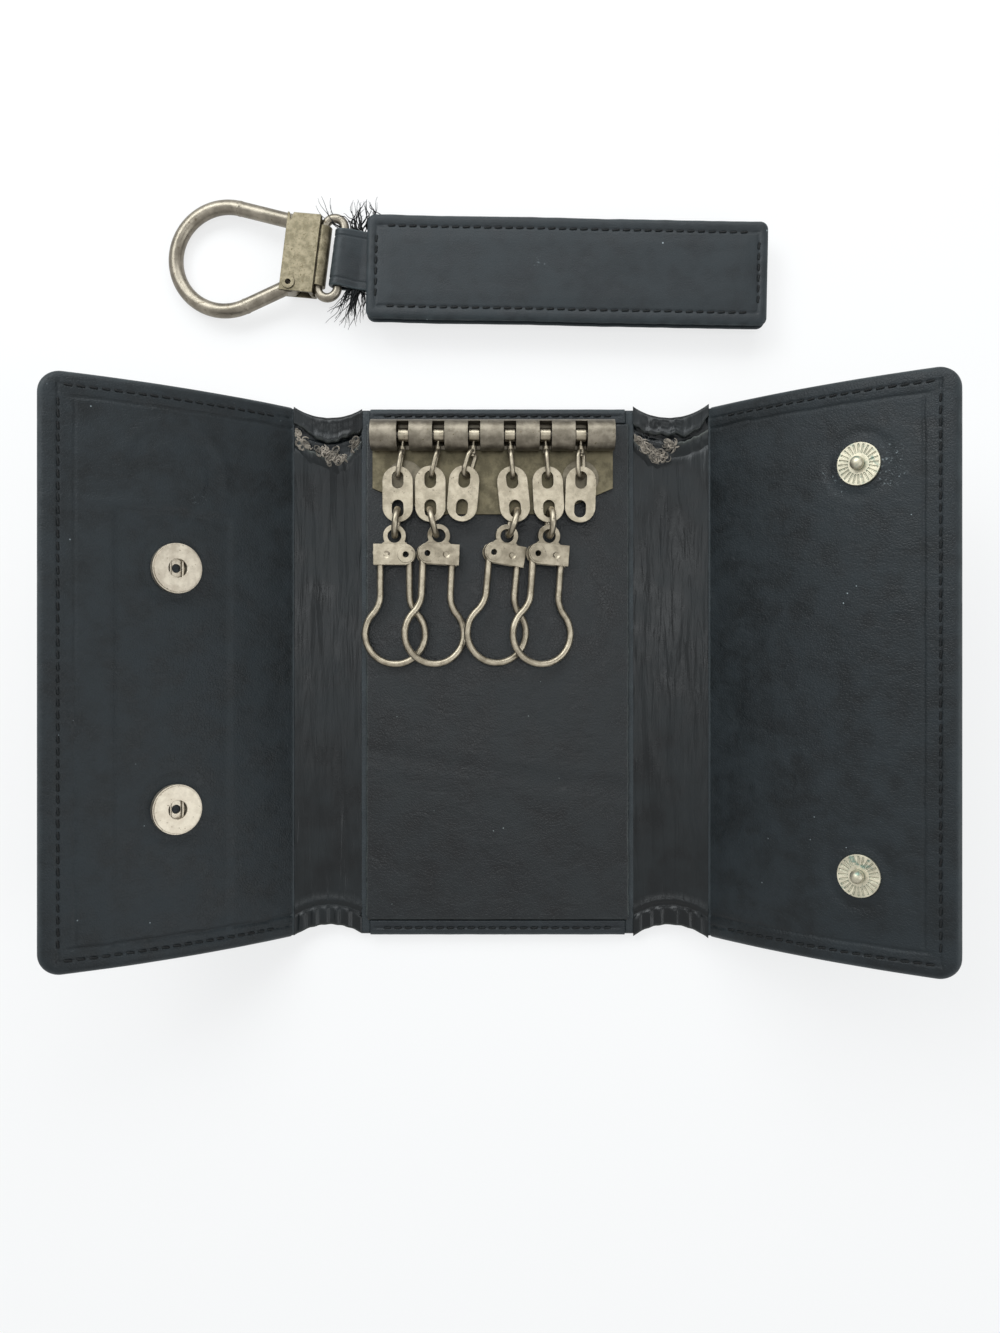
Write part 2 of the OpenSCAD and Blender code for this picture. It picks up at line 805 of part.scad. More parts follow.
module key_loop(k) {
    meet = [loop_r*cos(loop_meet), loop_r*sin(loop_meet) - loop_y];
    color(nickel) at_hook(k) translate([pivot_x, -pivot_y, 0])
        rotate([0, 0, loop_yaws[k]]) translate([-pivot_x, pivot_y, 0]) {
            translate([0, -loop_y, 0]) rotate([0, 0, 180 - loop_meet])
                wire_arc(loop_r, 180 + 2*loop_meet, loop_wire_r);
            translate([leg_x + waist_r, -waist_y, 0]) rotate([0, 0, 180])
                wire_arc(waist_r, loop_meet, loop_wire_r);
            translate([-leg_x - waist_r, -waist_y, 0]) rotate([0, 0, -loop_meet])
                wire_arc(waist_r, loop_meet, loop_wire_r);
            for (side = [-1, 1]) {
                bead(side*meet[0], meet[1], loop_wire_r);
                bead(side*leg_x, -waist_y, loop_wire_r);
            }
            translate([-leg_x, bead_gap - waist_y, 0]) rotate([-90, 0, 0])
                cylinder(r = loop_wire_r, h = waist_y - latch_top - bead_gap, $fn = 24);
            translate([-leg_x, -latch_top - nub_r, 0]) rotate([0, -90, 0])
                cylinder(r = nub_r, h = nub_reach - leg_x, $fn = 24);
            difference() {
                union() {
                    translate([leg_x, bead_gap - waist_y, 0]) rotate([-90, 0, 0])
                        cylinder(r = loop_wire_r, h = waist_y - pivot_y - bead_gap, $fn = 24);
                    translate([pivot_x, -pivot_y, 0])
                        cylinder(r = loop_eye_r, h = loop_eye_t, center = true);
                }
                translate([pivot_x, -pivot_y, 0])
                    cylinder(r = eyelet_r + rod_clear, h = 2*body_t, center = true);
            }
        }
}

// Strap fob: the strap's frame is at the middle of its back face
module at_strap() {
    translate([strap_x, strap_y, fob_base_z]) rotate([0, 0, strap_turn]) children();
}

// Frame of the fob's hook: X toward the loop, Y along the bar, origin on the bar
module at_fob() {
    translate([bar_at_x, bar_at_y, bar_at_z]) rotate([0, 0, fob_turn])
        rotate([0, fob_dip, 0]) children();
}

module strap_layer(z, t, inset) {
    translate([0, 0, z]) linear_extrude(t)
        round_rect(strap_l - 2*inset, strap_w - 2*inset, strap_corner_r);
}

module strap_front() {
    color(leather) at_strap() strap_layer(strap_skin_t + core_t, strap_skin_t, 0);
}

module strap_back() {
    color(leather) at_strap() difference() {
        strap_layer(0, strap_skin_t, 0);
        for (side = [-1, 1]) translate([strap_stud_x + side*strap_pitch/2, 0, -over])
            cylinder(r = post_r, h = strap_skin_t + 2*over);
    }
}

module strap_core() {
    color(leather) difference() {
        union() {
            at_strap() strap_layer(strap_skin_t, core_t, core_inset);
            translate([bar_at_x, bar_at_y, bar_at_z]) rotate([0, 0, fob_turn])
                rotate([90, 0, 0]) linear_extrude(neck_w, center = true) difference() {
                    union() {
                        circle(neck_r_out);
                        polygon([[0, neck_r_out], [-neck_taper, neck_ply_t],
                                 [-neck_l, neck_ply_t], [-neck_l, -neck_ply_t],
                                 [-neck_taper, -neck_ply_t], [0, -neck_r_out]]);
                    }
                    circle(neck_bore_r);
                    polygon([[0, neck_bore_r], [neck_bore_r - neck_taper, 0],
                             [0, -neck_bore_r]]);
                }
        }
        at_strap() for (side = [-1, 1])
            translate([strap_stud_x + side*strap_pitch/2, 0, strap_skin_t - over])
                cylinder(r = post_flange_r + post_hole_gap,
                         h = over + post_flange_t + layer_gap);
    }
}

module strap_studs() {
    color(antique) at_strap() for (side = [-1, 1])
        translate([strap_stud_x + side*strap_pitch/2, 0, 0]) {
            mirror([0, 0, 1]) stud();
            cylinder(r = post_r, h = strap_skin_t);
            translate([0, 0, strap_skin_t]) cylinder(r = post_flange_r, h = post_flange_t);
        }
}

module fob_frame() {
    color(nickel) at_fob() {
        for (x = [0, 2*frame_r]) translate([x, 0, 0]) rotate([90, 0, 0])
            cylinder(r = frame_wire_r, h = 2*frame_straight, center = true);
        for (side = [-1, 1]) translate([frame_r, side*frame_straight, 0])
            rotate([0, 0, side > 0 ? 0 : 180]) rotate_extrude(angle = 180)
                translate([frame_r, 0]) circle(frame_wire_r, $fn = 24);
    }
}

module fob_hook_plate() {
    cheek = fob_half_t - fob_sheet;
    color(nickel) at_fob() {
        difference() {
            union() {
                translate([2*frame_r, 0, 0]) rotate([90, 0, 0])
                    cylinder(r = knuckle2_r, h = 2*frame_straight, center = true);
                translate([fob_plate_x - fob_sheet, -fob_plate_l/2, -fob_half_t])
                    cube([fob_plate_w + fob_sheet, fob_plate_l, 2*fob_half_t]);
            }
            translate([2*frame_r, 0, 0]) rotate([90, 0, 0])
                cylinder(r = frame_wire_r, h = 2*fob_plate_l, center = true);
            translate([fob_plate_x + fob_sheet, -fob_plate_l, -cheek])
                cube([fob_plate_w, 2*fob_plate_l, 2*cheek]);
            translate([fob_pivot_x, fob_pivot_y, 0])
                cylinder(r = fob_eyelet_r, h = 4*fob_half_t, center = true);
            translate([fob_plate_end - fob_notch, -fob_plate_l/2 - over, 0])
                linear_extrude(2*fob_half_t)
                    polygon([[0, 0], [fob_notch/2, over + fob_notch], [fob_notch, 0]]);
        }
        translate([fob_pivot_x, fob_pivot_y, 0]) difference() {
            union() {
                cylinder(r = fob_eyelet_r, h = 2*(fob_half_t + fob_head_t), center = true);
                for (side = [-1, 1])
                    translate([0, 0, side*(fob_half_t + fob_head_t/2)])
                        cylinder(r = fob_head_r, h = fob_head_t, center = true);
            }
            cylinder(r = fob_eyelet_bore, h = 4*fob_half_t, center = true);
        }
    }
}

// Angle and length of a straight leg that runs from a point onto the fob's loop
function leg_run(x, y) = sqrt(pow(fob_loop_x - x, 2) + pow(fob_loop_y - y, 2));
function leg_line(x, y) = sqrt(pow(leg_run(x, y), 2) - pow(fob_loop_r, 2));
function leg_aim(x, y) = atan2(fob_loop_y - y, fob_loop_x - x);
function leg_lean(x, y) = asin(fob_loop_r/leg_run(x, y));

module wire_leg(x, y, angle, l) {
    translate([x, y, 0]) rotate([0, 0, angle]) rotate([0, 90, 0])
        cylinder(r = fob_wire_r, h = l - bead_gap, $fn = 32);
}

module fob_loop() {
    top_x = fob_plate_end - fob_leg_in;
    low = leg_aim(fob_pivot_x, fob_pivot_y) + leg_lean(fob_pivot_x, fob_pivot_y);
    high = leg_aim(top_x, fob_leg_y) - leg_lean(top_x, fob_leg_y);
    color(nickel) at_fob() {
        translate([fob_loop_x, fob_loop_y, 0]) {
            rotate([0, 0, high - 90]) wire_arc(fob_loop_r, low - high + 180, fob_wire_r);
            for (turn = [high - 90, low + 90])
                bead(fob_loop_r*cos(turn), fob_loop_r*sin(turn), fob_wire_r);
        }
        wire_leg(top_x, fob_leg_y, high, leg_line(top_x, fob_leg_y));
        difference() {
            union() {
                wire_leg(fob_pivot_x, fob_pivot_y, low, leg_line(fob_pivot_x, fob_pivot_y));
                translate([fob_pivot_x, fob_pivot_y, 0])
                    cylinder(r = fob_eye_r, h = fob_eye_t, center = true);
            }
            translate([fob_pivot_x, fob_pivot_y, 0])
                cylinder(r = fob_eyelet_r + rod_clear, h = 4*fob_half_t, center = true);
        }
    }
}

shell_center();
shell_left_gusset();
shell_right_gusset();
shell_left_flap();
shell_right_flap();
left_gusset_lining();
right_gusset_lining();
center_lining();
left_pocket_panel();
right_pocket_panel();
center_board();
left_flap_board();
right_flap_board();
inner_sockets();
outer_sockets();
socket_posts();
closing_studs();
closing_stud_posts();
key_plate();
hinge_rod();
rod_end_plugs();
plate_rivets();
barrel(0);  // barrel_1
barrel(1);  // barrel_2
barrel(2);  // barrel_3
barrel(3);  // barrel_4
barrel(4);  // barrel_5
barrel(5);  // barrel_6
swivel_ring(0);  // swivel_ring_1
swivel_ring(1);  // swivel_ring_2
swivel_ring(2);  // swivel_ring_3
swivel_ring(3);  // swivel_ring_4
swivel_ring(4);  // swivel_ring_5
swivel_ring(5);  // swivel_ring_6
flat_link(0);  // flat_link_1
flat_link(1);  // flat_link_2
flat_link(2);  // flat_link_3
flat_link(3);  // flat_link_4
flat_link(4);  // flat_link_5
flat_link(5);  // flat_link_6
jump_ring(0);  // jump_ring_1
jump_ring(1);  // jump_ring_2
jump_ring(3);  // jump_ring_4
jump_ring(4);  // jump_ring_5
hook_body(0);  // hook_body_1
hook_body(1);  // hook_body_2
hook_body(3);  // hook_body_4
hook_body(4);  // hook_body_5
key_loop(0);  // key_loop_1
key_loop(1);  // key_loop_2
key_loop(3);  // key_loop_4
key_loop(4);  // key_loop_5
strap_front();
strap_core();
strap_back();
strap_studs();
fob_frame();
fob_hook_plate();
fob_loop();
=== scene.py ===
# Open key case with its loose strap fob, seen from straight above
import bpy, math
import numpy as np
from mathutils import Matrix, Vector, noise


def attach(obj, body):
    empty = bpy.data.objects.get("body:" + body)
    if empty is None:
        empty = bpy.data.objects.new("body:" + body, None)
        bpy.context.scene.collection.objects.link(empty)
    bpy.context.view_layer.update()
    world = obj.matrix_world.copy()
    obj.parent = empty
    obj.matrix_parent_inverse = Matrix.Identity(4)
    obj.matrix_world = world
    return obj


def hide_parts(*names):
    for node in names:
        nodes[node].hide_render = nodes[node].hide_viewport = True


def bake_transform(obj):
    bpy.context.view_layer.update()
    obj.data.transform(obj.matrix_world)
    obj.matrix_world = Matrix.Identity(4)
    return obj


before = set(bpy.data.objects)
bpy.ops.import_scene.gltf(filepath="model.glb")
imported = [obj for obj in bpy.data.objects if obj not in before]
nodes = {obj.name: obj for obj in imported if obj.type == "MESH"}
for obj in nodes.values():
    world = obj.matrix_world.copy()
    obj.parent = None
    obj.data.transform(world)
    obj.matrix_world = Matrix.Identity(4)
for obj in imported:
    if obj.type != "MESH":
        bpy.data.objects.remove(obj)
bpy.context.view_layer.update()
mm = 0.001

def linearColour(hexText):
    parts = [int(hexText[i:i + 2], 16) / 255 for i in (1, 3, 5)]
    return [c / 12.92 if c <= 0.04045 else ((c + 0.055) / 1.055) ** 2.4 for c in parts] + [1.0]


def addNode(tree, kind, inputs=None, **settings):
    node = tree.nodes.new("ShaderNode" + kind)
    for key, value in settings.items():
        setattr(node, key, value)
    for key, value in (inputs or {}).items():
        if isinstance(value, bpy.types.NodeSocket):
            tree.links.new(value, node.inputs[key])
        else:
            node.inputs[key].default_value = value
    return node


def newMaterial(name):
    mat = bpy.data.materials.new(name)
    mat.use_nodes = True
    tree = mat.node_tree
    tree.nodes.clear()
    shader = addNode(tree, "BsdfPrincipled")
    addNode(tree, "OutputMaterial", {"Surface": shader.outputs[0]})
    coord = addNode(tree, "TexCoord")
    inMm = addNode(tree, "Mapping", {0: coord.outputs["Object"], "Scale": (1000, 1000, 1000)})
    return mat, tree, shader, inMm.outputs[0]


def mixColour(tree, fac, a, b):
    return addNode(tree, "Mix", {0: fac, 6: a, 7: b}, data_type="RGBA").outputs[2]


def ramp(tree, value, low, high):
    return addNode(tree, "MapRange", {0: value, 1: low, 2: high}, interpolation_type="SMOOTHSTEP").outputs[0]


def twoTone(tree, value, low, high, dark, light):  # one colour passing into the other as the value climbs
    return mixColour(tree, ramp(tree, value, low, high), linearColour(dark), linearColour(light))


def noiseOf(tree, pos, sizeMm, detail, **more):
    return addNode(tree, "TexNoise", {0: pos, "Scale": 1 / sizeMm, "Detail": detail, **more})


def cellsOf(tree, pos, sizeMm, **settings):
    return addNode(tree, "TexVoronoi", {0: pos, "Scale": 1 / sizeMm}, **settings)


def mathOf(tree, operation, a, b):
    return addNode(tree, "Math", {0: a, 1: b}, operation=operation).outputs[0]


def bumpOf(tree, height, strength, deepMm, under=None):
    bump = addNode(tree, "Bump", {"Height": height, "Strength": strength, "Distance": deepMm * mm})
    if under is not None:
        tree.links.new(under.outputs[0], bump.inputs["Normal"])
    return bump


# Joins colour and relief to the shader; a pair for rough makes it duller or shinier with the clouds
def finishSurface(tree, shader, base, bump, cloud, rough, **settings):
    tree.links.new(base, shader.inputs["Base Color"])
    tree.links.new(bump.outputs[0], shader.inputs["Normal"])
    if isinstance(rough, tuple):
        spread = addNode(tree, "MapRange", {0: cloud.outputs[0], 1: 0.3, 2: 0.7, 3: rough[0], 4: rough[1]})
        tree.links.new(spread.outputs[0], shader.inputs["Roughness"])
    else:
        shader.inputs["Roughness"].default_value = rough
    for key, value in settings.items():
        shader.inputs[key.replace("_", " ")].default_value = value


def seenDirectly(tree):  # 1 for rays from the camera, through glass and off shiny faces
    path = addNode(tree, "LightPath")
    seen = mathOf(tree, "MAXIMUM", path.outputs["Is Camera Ray"], path.outputs["Is Transmission Ray"])
    return mathOf(tree, "MAXIMUM", seen, path.outputs["Is Glossy Ray"])


def addObject(name, data):
    obj = bpy.data.objects.new(name, data)
    bpy.context.scene.collection.objects.link(obj)
    return obj


def makeMesh(name, verts, faces, mat):
    mesh = bpy.data.meshes.new(name)
    mesh.from_pydata([tuple(v) for v in np.asarray(verts) * mm], [], faces)
    mesh.validate()
    mesh.update()
    obj = addObject(name, mesh)
    mesh.polygons.foreach_set("use_smooth", [True] * len(mesh.polygons))
    mesh.materials.append(mat)
    return obj


def wobble(x, y, z=0.0):
    return noise.noise(Vector((x, y, z)))


wobbles = np.vectorize(wobble, otypes=[float])


def smoothStep(x, low, high):
    t = np.clip((np.asarray(x, float) - low) / (high - low), 0, 1)
    return t * t * (3 - 2 * t)


def bumpAt(x, centre, width):  # 1 at the centre, 0 past the width
    t = np.clip(1 - np.abs(np.asarray(x, float) - centre) / width, 0, 1)
    return t * t * (3 - 2 * t)

print("key case: materials")


# Drum-dyed calfskin, tumbled: a fine pebble grain in closed cells, dull with a soft sheen,
# paler and smoother where hands rub it, painted paler still as a highlight along edges and wrinkle crests, with a few
# dry white flecks
def grainLeather(name, s):
    mat, tree, shader, pos = newMaterial(name)
    cloud = noiseOf(tree, pos, s["cloudMm"], 4, Roughness=0.6)
    cell = cellsOf(tree, pos, s["grainMm"], feature="DISTANCE_TO_EDGE")
    drawn = addNode(tree, "Mapping", {0: pos, "Scale": s["wrinkleStretch"]})
    wrinkle = noiseOf(tree, drawn.outputs[0], s["wrinkleMm"], 5, Roughness=0.55, Distortion=0.8)
    wearAndHighlight = addNode(tree, "Attribute", attribute_name="rubbedAndHighlight")
    dry = addNode(tree, "Attribute", attribute_name="dryPatch")
    base = twoTone(tree, cloud.outputs[0], 0.3, 0.7, s["dark"], s["light"])
    # painted highlight: the raised crests of the wrinkles are painted toward the light tone
    wrinkleCrestHighlight = mathOf(tree, "MULTIPLY", ramp(tree, wrinkle.outputs[0], 0.42, 0.62), 0.35)
    base = mixColour(tree, wrinkleCrestHighlight, base, linearColour(s["light"]))
    # the paler rubbed colour is partly wear and partly a painted highlight along edges and folds
    base = mixColour(tree, wearAndHighlight.outputs["Fac"], base, linearColour(s["rubbedAndHighlight"]))
    fleck = cellsOf(tree, pos, s["fleckMm"]).outputs["Distance"]
    few = ramp(tree, noiseOf(tree, pos, 9.0, 2).outputs[0], 0.48, 0.6)
    spots = mathOf(tree, "MULTIPLY", ramp(tree, fleck, s["fleckSize"], s["fleckSize"] * 0.6), few)
    scuff = ramp(tree, noiseOf(tree, pos, 0.55, 5, Roughness=0.7).outputs[0], 0.58, 0.66)
    spots = mathOf(tree, "MAXIMUM", spots, mathOf(tree, "MULTIPLY", dry.outputs["Fac"], scuff))
    base = mixColour(tree, spots, base, linearColour(s["fleck"]))
    low = bumpOf(tree, wrinkle.outputs[0], s["wrinkleBump"], 0.25)
    fine = bumpOf(tree, ramp(tree, cell.outputs["Distance"], 0.0, 0.22), s["grainBump"], 0.06, low)
    finishSurface(tree, shader, base, fine, cloud, s["rough"], IOR=1.48, Specular_IOR_Level=s["specular"])
    return mat


# Vegetable-split fold leather, glazed: smooth, near black and shiny, drawn into long
# wrinkles along the case by years of folding
def glazedLeather(name, s):
    mat, tree, shader, pos = newMaterial(name)
    long = addNode(tree, "Mapping", {0: pos, "Scale": (1.0, 0.09, 1.0)})
    folds = noiseOf(tree, long.outputs[0], s["foldMm"], 3, Distortion=0.5)
    cloud = noiseOf(tree, pos, 7.0, 3)
    wearAndHighlight = addNode(tree, "Attribute", attribute_name="rubbedAndHighlight")
    base = twoTone(tree, cloud.outputs[0], 0.35, 0.65, s["dark"], s["light"])
    # the paler rubbed colour is partly wear and partly a painted highlight along edges and folds
    base = mixColour(tree, wearAndHighlight.outputs["Fac"], base, linearColour(s["rubbedAndHighlight"]))
    low = bumpOf(tree, folds.outputs[0], s["foldBump"], 0.5)
    fine = bumpOf(tree, cellsOf(tree, pos, 0.5).outputs["Distance"], 0.12, 0.05, low)
    finishSurface(tree, shader, base, fine, cloud, s["rough"], IOR=1.48, Specular_IOR_Level=s["specular"])
    return mat


# Plated sheet and wire, tumbled then dulled in the pocket: pale nickel worn soft, shade painted brown
# into the corners over a little dirt, with fine scratches along the part and a few dark pits
def wornPlate(name, s):
    mat, tree, shader, pos = newMaterial(name)
    cloud = noiseOf(tree, pos, s["cloudMm"], 5, Roughness=0.65)
    pit = noiseOf(tree, pos, s["pitMm"], 3)
    line = addNode(tree, "Mapping", {0: pos, "Scale": s["scratchStretch"]})
    scratch = noiseOf(tree, line.outputs[0], s["scratchMm"], 4)
    corner = addNode(tree, "AmbientOcclusion", {"Distance": s["cornerShadeMm"] * mm}, samples=6)
    base = twoTone(tree, cloud.outputs[0], 0.35, 0.68, s["dark"], s["light"])
    stained = ramp(tree, pit.outputs[0], s["pitFrom"], s["pitFrom"] + 0.07)
    base = mixColour(tree, stained, base, linearColour(s["stain"]))
    if s.get("flat"):  # the flat below the knuckles is duller than they are
        high = addNode(tree, "SeparateXYZ", {0: pos}).outputs["Z"]
        flat = twoTone(tree, cloud.outputs[0], 0.35, 0.68, *s["flat"])
        base = mixColour(tree, ramp(tree, high, *s["flatToKnuckle"]), flat, base)
    # painted shade: occlusion in the corners darkens the colour toward the corner brown, over a little dirt
    shade = ramp(tree, corner.outputs["AO"], s["cornerShadeFrom"], 0.2)
    base = mixColour(tree, shade, base, linearColour(s["corner"]))
    if s.get("verdigris"):
        # the verdigris colour also fills the painted corner shade
        green = ramp(tree, noiseOf(tree, pos, 1.4, 4).outputs[0], *s["verdigrisAt"])
        base = mixColour(tree, mathOf(tree, "MAXIMUM", green, shade), base, linearColour(s["verdigris"]))
    soft = addNode(tree, "Bevel", {"Radius": s["edgeMm"] * mm}, samples=6)
    low = bumpOf(tree, pit.outputs[0], s["pitBump"], 0.05, soft)
    fine = bumpOf(tree, scratch.outputs[0], s["scratchBump"], 0.02, low)
    finishSurface(tree, shader, base, fine, cloud, s["rough"], Metallic=s["metallic"])
    return mat


# Spun thread and loose fibre: matt, with a twist of fine strands
def spunFibre(name, s):
    mat, tree, shader, pos = newMaterial(name)
    strand = addNode(tree, "TexWave", {0: pos, "Scale": 1 / s["strandMm"], "Distortion": 2.0, "Detail": 2},
                     wave_type="BANDS", bands_direction="DIAGONAL")
    cloud = noiseOf(tree, pos, s["cloudMm"], 3)
    base = twoTone(tree, cloud.outputs[0], 0.35, 0.65, s["dark"], s["light"])
    twist = bumpOf(tree, strand.outputs["Fac"], 0.5, 0.04)
    finishSurface(tree, shader, base, twist, cloud, s["rough"], Specular_IOR_Level=0.25, Sheen_Weight=s["sheen"])
    return mat


# Pressed fibre board: grey-brown, matt, flecked with short fibres
def pressedBoard(name, s):
    mat, tree, shader, pos = newMaterial(name)
    long = addNode(tree, "Mapping", {0: pos, "Scale": (1.0, 0.3, 1.0)})
    fibres = noiseOf(tree, long.outputs[0], s["fibreMm"], 6, Distortion=1.0)
    base = twoTone(tree, fibres.outputs[0], 0.35, 0.65, s["dark"], s["light"])
    finishSurface(tree, shader, base, bumpOf(tree, fibres.outputs[0], 0.4, 0.05), fibres, s["rough"])
    return mat


flapLeather = grainLeather("calfskin tumbled grain", {
    "dark": "#0f1416", "light": "#1f2528", "rubbedAndHighlight": "#4a5153", "fleck": "#8f989a",
    "cloudMm": 6.5, "grainMm": 0.55, "wrinkleMm": 2.6, "wrinkleStretch": (0.55, 1.0, 1.0),
    "wrinkleBump": 0.5, "grainBump": 0.4, "fleckMm": 3.4, "fleckSize": 0.045,
    "rough": (0.36, 0.54), "specular": 0.26})
centreLeather = grainLeather("calfskin lining polished by keys", {
    "dark": "#070a0c", "light": "#13181a", "rubbedAndHighlight": "#4a4f4d", "fleck": "#868e8b",
    "cloudMm": 8.0, "grainMm": 0.6, "wrinkleMm": 3.2, "wrinkleStretch": (0.7, 1.0, 1.0),
    "wrinkleBump": 0.6, "grainBump": 0.35, "fleckMm": 3.8, "fleckSize": 0.045,
    "rough": (0.26, 0.44), "specular": 0.34})
outerLeather = grainLeather("calfskin outer grain", {
    "dark": "#15191c", "light": "#212629", "rubbedAndHighlight": "#464d4f", "fleck": "#868e90",
    "cloudMm": 11.0, "grainMm": 0.6, "wrinkleMm": 3.0, "wrinkleStretch": (1.0, 0.7, 1.0),
    "wrinkleBump": 0.3, "grainBump": 0.4, "fleckMm": 5.0, "fleckSize": 0.045,
    "rough": (0.4, 0.56), "specular": 0.28})
strapLeather = grainLeather("calfskin pressed smooth", {
    "dark": "#161b1e", "light": "#23292c", "rubbedAndHighlight": "#50595b", "fleck": "#99a2a5",
    "cloudMm": 7.0, "grainMm": 0.5, "wrinkleMm": 3.5, "wrinkleStretch": (0.6, 1.0, 1.0),
    "wrinkleBump": 0.2, "grainBump": 0.25, "fleckMm": 4.4, "fleckSize": 0.045,
    "rough": (0.42, 0.56), "specular": 0.3})
gussetLeather = glazedLeather("split leather glazed and wrinkled", {
    "dark": "#04080a", "light": "#0d1315", "rubbedAndHighlight": "#4a4d48", "foldMm": 1.5, "foldBump": 0.6,
    "rough": (0.24, 0.4), "specular": 0.3})
threadMat = spunFibre("bonded nylon thread", {
    "dark": "#050708", "light": "#0f1314", "strandMm": 0.22, "cloudMm": 3.0, "rough": 0.6, "sheen": 0.0})
frayMat = spunFibre("interlining cotton frayed", {
    "dark": "#5d564c", "light": "#9d9284", "strandMm": 0.2, "cloudMm": 1.6, "rough": 0.9, "sheen": 0.3})
boardMat = pressedBoard("fibre board pressed", {"dark": "#3a352e", "light": "#5b5348", "fibreMm": 0.5, "rough": 0.85})
keyMetal = {
    # corner: the brown of the painted shade in the corners
    "dark": "#847c6c", "light": "#a89f8d", "stain": "#625a4d", "corner": "#3d382f",
    "cloudMm": 2.2, "pitMm": 0.5, "pitFrom": 0.66, "scratchStretch": (1.0, 0.15, 1.0), "scratchMm": 0.14,
    "cornerShadeMm": 0.5, "cornerShadeFrom": 0.75, "metallic": 0.93, "rough": (0.3, 0.44), "edgeMm": 0.12,
    "pitBump": 0.25, "scratchBump": 0.35}
antiqueNickel = wornPlate("nickel plate tumbled and pocket worn", keyMetal)
barNickel = wornPlate("nickel plate brushed across the bar", {
    **keyMetal, "dark": "#5e5951", "light": "#817a6f", "scratchStretch": (0.12, 1.0, 1.0),
    "scratchMm": 0.18, "scratchBump": 0.6, "rough": (0.32, 0.5)})
goldenPlate = wornPlate("brass plate gilt and dulled", {
    **keyMetal, "dark": "#645e53", "light": "#867f72", "stain": "#574f3d", "corner": "#3f3929",
    "flat": ("#4b4637", "#6c6551"), "flatToKnuckle": (2.65, 3.1), "rough": (0.38, 0.55), "scratchBump": 0.3})
snapMetal = wornPlate("brass snap stamped", {
    **keyMetal, "dark": "#a49b8c", "light": "#c3bbab", "stain": "#6f675a", "rough": (0.36, 0.52)})
greenMetal = wornPlate("brass snap with verdigris", {
    **keyMetal, "dark": "#aaa592", "light": "#cdc7b2", "stain": "#77766a", "corner": "#50564a",
    "verdigris": "#7d8f82", "verdigrisAt": (0.56, 0.7), "metallic": 0.85, "rough": (0.4, 0.58)})
hookPlate = wornPlate("nickel plate rubbed to brass", {
    **keyMetal, "dark": "#575141", "light": "#7c7461", "cloudMm": 1.5, "pitMm": 0.4, "pitFrom": 0.6,
    "stain": "#554d3b", "rough": (0.36, 0.54)})
fobMetal = wornPlate("nickel plate on cast fittings", {
    **keyMetal, "dark": "#716b60", "light": "#918a7d", "cloudMm": 3.5, "pitMm": 0.6, "pitFrom": 0.63,
    "stain": "#5f574a", "edgeMm": 0.2, "rough": (0.28, 0.42)})

metalOf = {
    "hinge_rod": barNickel, "rod_end_plugs": barNickel, "key_plate": goldenPlate, "plate_rivets": goldenPlate,
    "inner_sockets": snapMetal, "outer_sockets": snapMetal, "socket_posts": snapMetal,
    "closing_studs": greenMetal, "closing_stud_posts": greenMetal, "strap_studs": greenMetal,
    "fob_frame": fobMetal, "fob_hook_plate": hookPlate, "fob_loop": fobMetal}
for part, obj in nodes.items():
    if part in metalOf:
        mat = metalOf[part]
    elif part.startswith(("barrel", "swivel", "flat_link", "jump", "hook_body", "key_loop")):
        mat = antiqueNickel
    elif part.endswith("_board"):
        mat = boardMat
    else:
        mat = outerLeather
    obj.data.materials.clear()
    obj.data.materials.append(mat)

print("key case: leather")


def gridLines(low, high, step, fine=()):  # closer lines at both ends and beside each row in fine
    edge = np.array([0, 0.05, 0.16, 0.34, 0.6, 0.95, 1.4])
    marks = set(np.round(np.concatenate([low + edge, high - edge]), 3))
    for at, reach in fine:
        marks |= set(np.round(at + np.array([-1, -0.66, -0.33, 0, 0.33, 0.66, 1]) * reach, 3))
    count = max(2, int(round((high - low) / step)))
    for x in np.linspace(low, high, count + 1):
        if all(abs(x - m) > step * 0.45 for m in marks):
            marks.add(round(float(x), 3))
    lines = np.array(sorted(m for m in marks if low <= m <= high))
    keep = [lines[0]] + [b for a, b in zip(lines[:-1], lines[1:]) if b - a > 0.02]
    return np.array(keep)


# A square corner's grid pulled to a quarter circle, and the depth from the edge
def roundCorners(x, y, corners, cutSide):
    x, y = x.copy(), y.copy()
    x0, x1, y0, y1 = x.min(), x.max(), y.min(), y.max()
    sides = {"x0": x - x0, "x1": x1 - x, "y0": y - y0, "y1": y1 - y}
    depth = np.minimum.reduce([d for side, d in sides.items() if side not in cutSide])
    for (sx, sy), r in corners.items():
        cx, cy = (x1 - r if sx > 0 else x0 + r), (y1 - r if sy > 0 else y0 + r)
        a, b = (x - cx) * sx / r, (y - cy) * sy / r
        here = (a > 0) & (b > 0)
        scale = np.maximum(a, b) / np.sqrt(np.maximum(a * a + b * b, 1e-9))
        x = np.where(here, cx + sx * r * a * scale, x)
        y = np.where(here, cy + sy * r * b * scale, y)
        depth = np.where(here, r * (1 - np.maximum(a, b)), depth)
    return x, y, depth


def bothEnds(at, reach):  # closer grid lines beside a row near either end
    return [(-at, reach), (at, reach)]


def rolled(depth, r):  # how far a rounded edge falls below the face
    t = np.clip(1 - depth / r, 0, 1)
    return r * (1 - np.sqrt(np.maximum(0, 1 - t * t)))


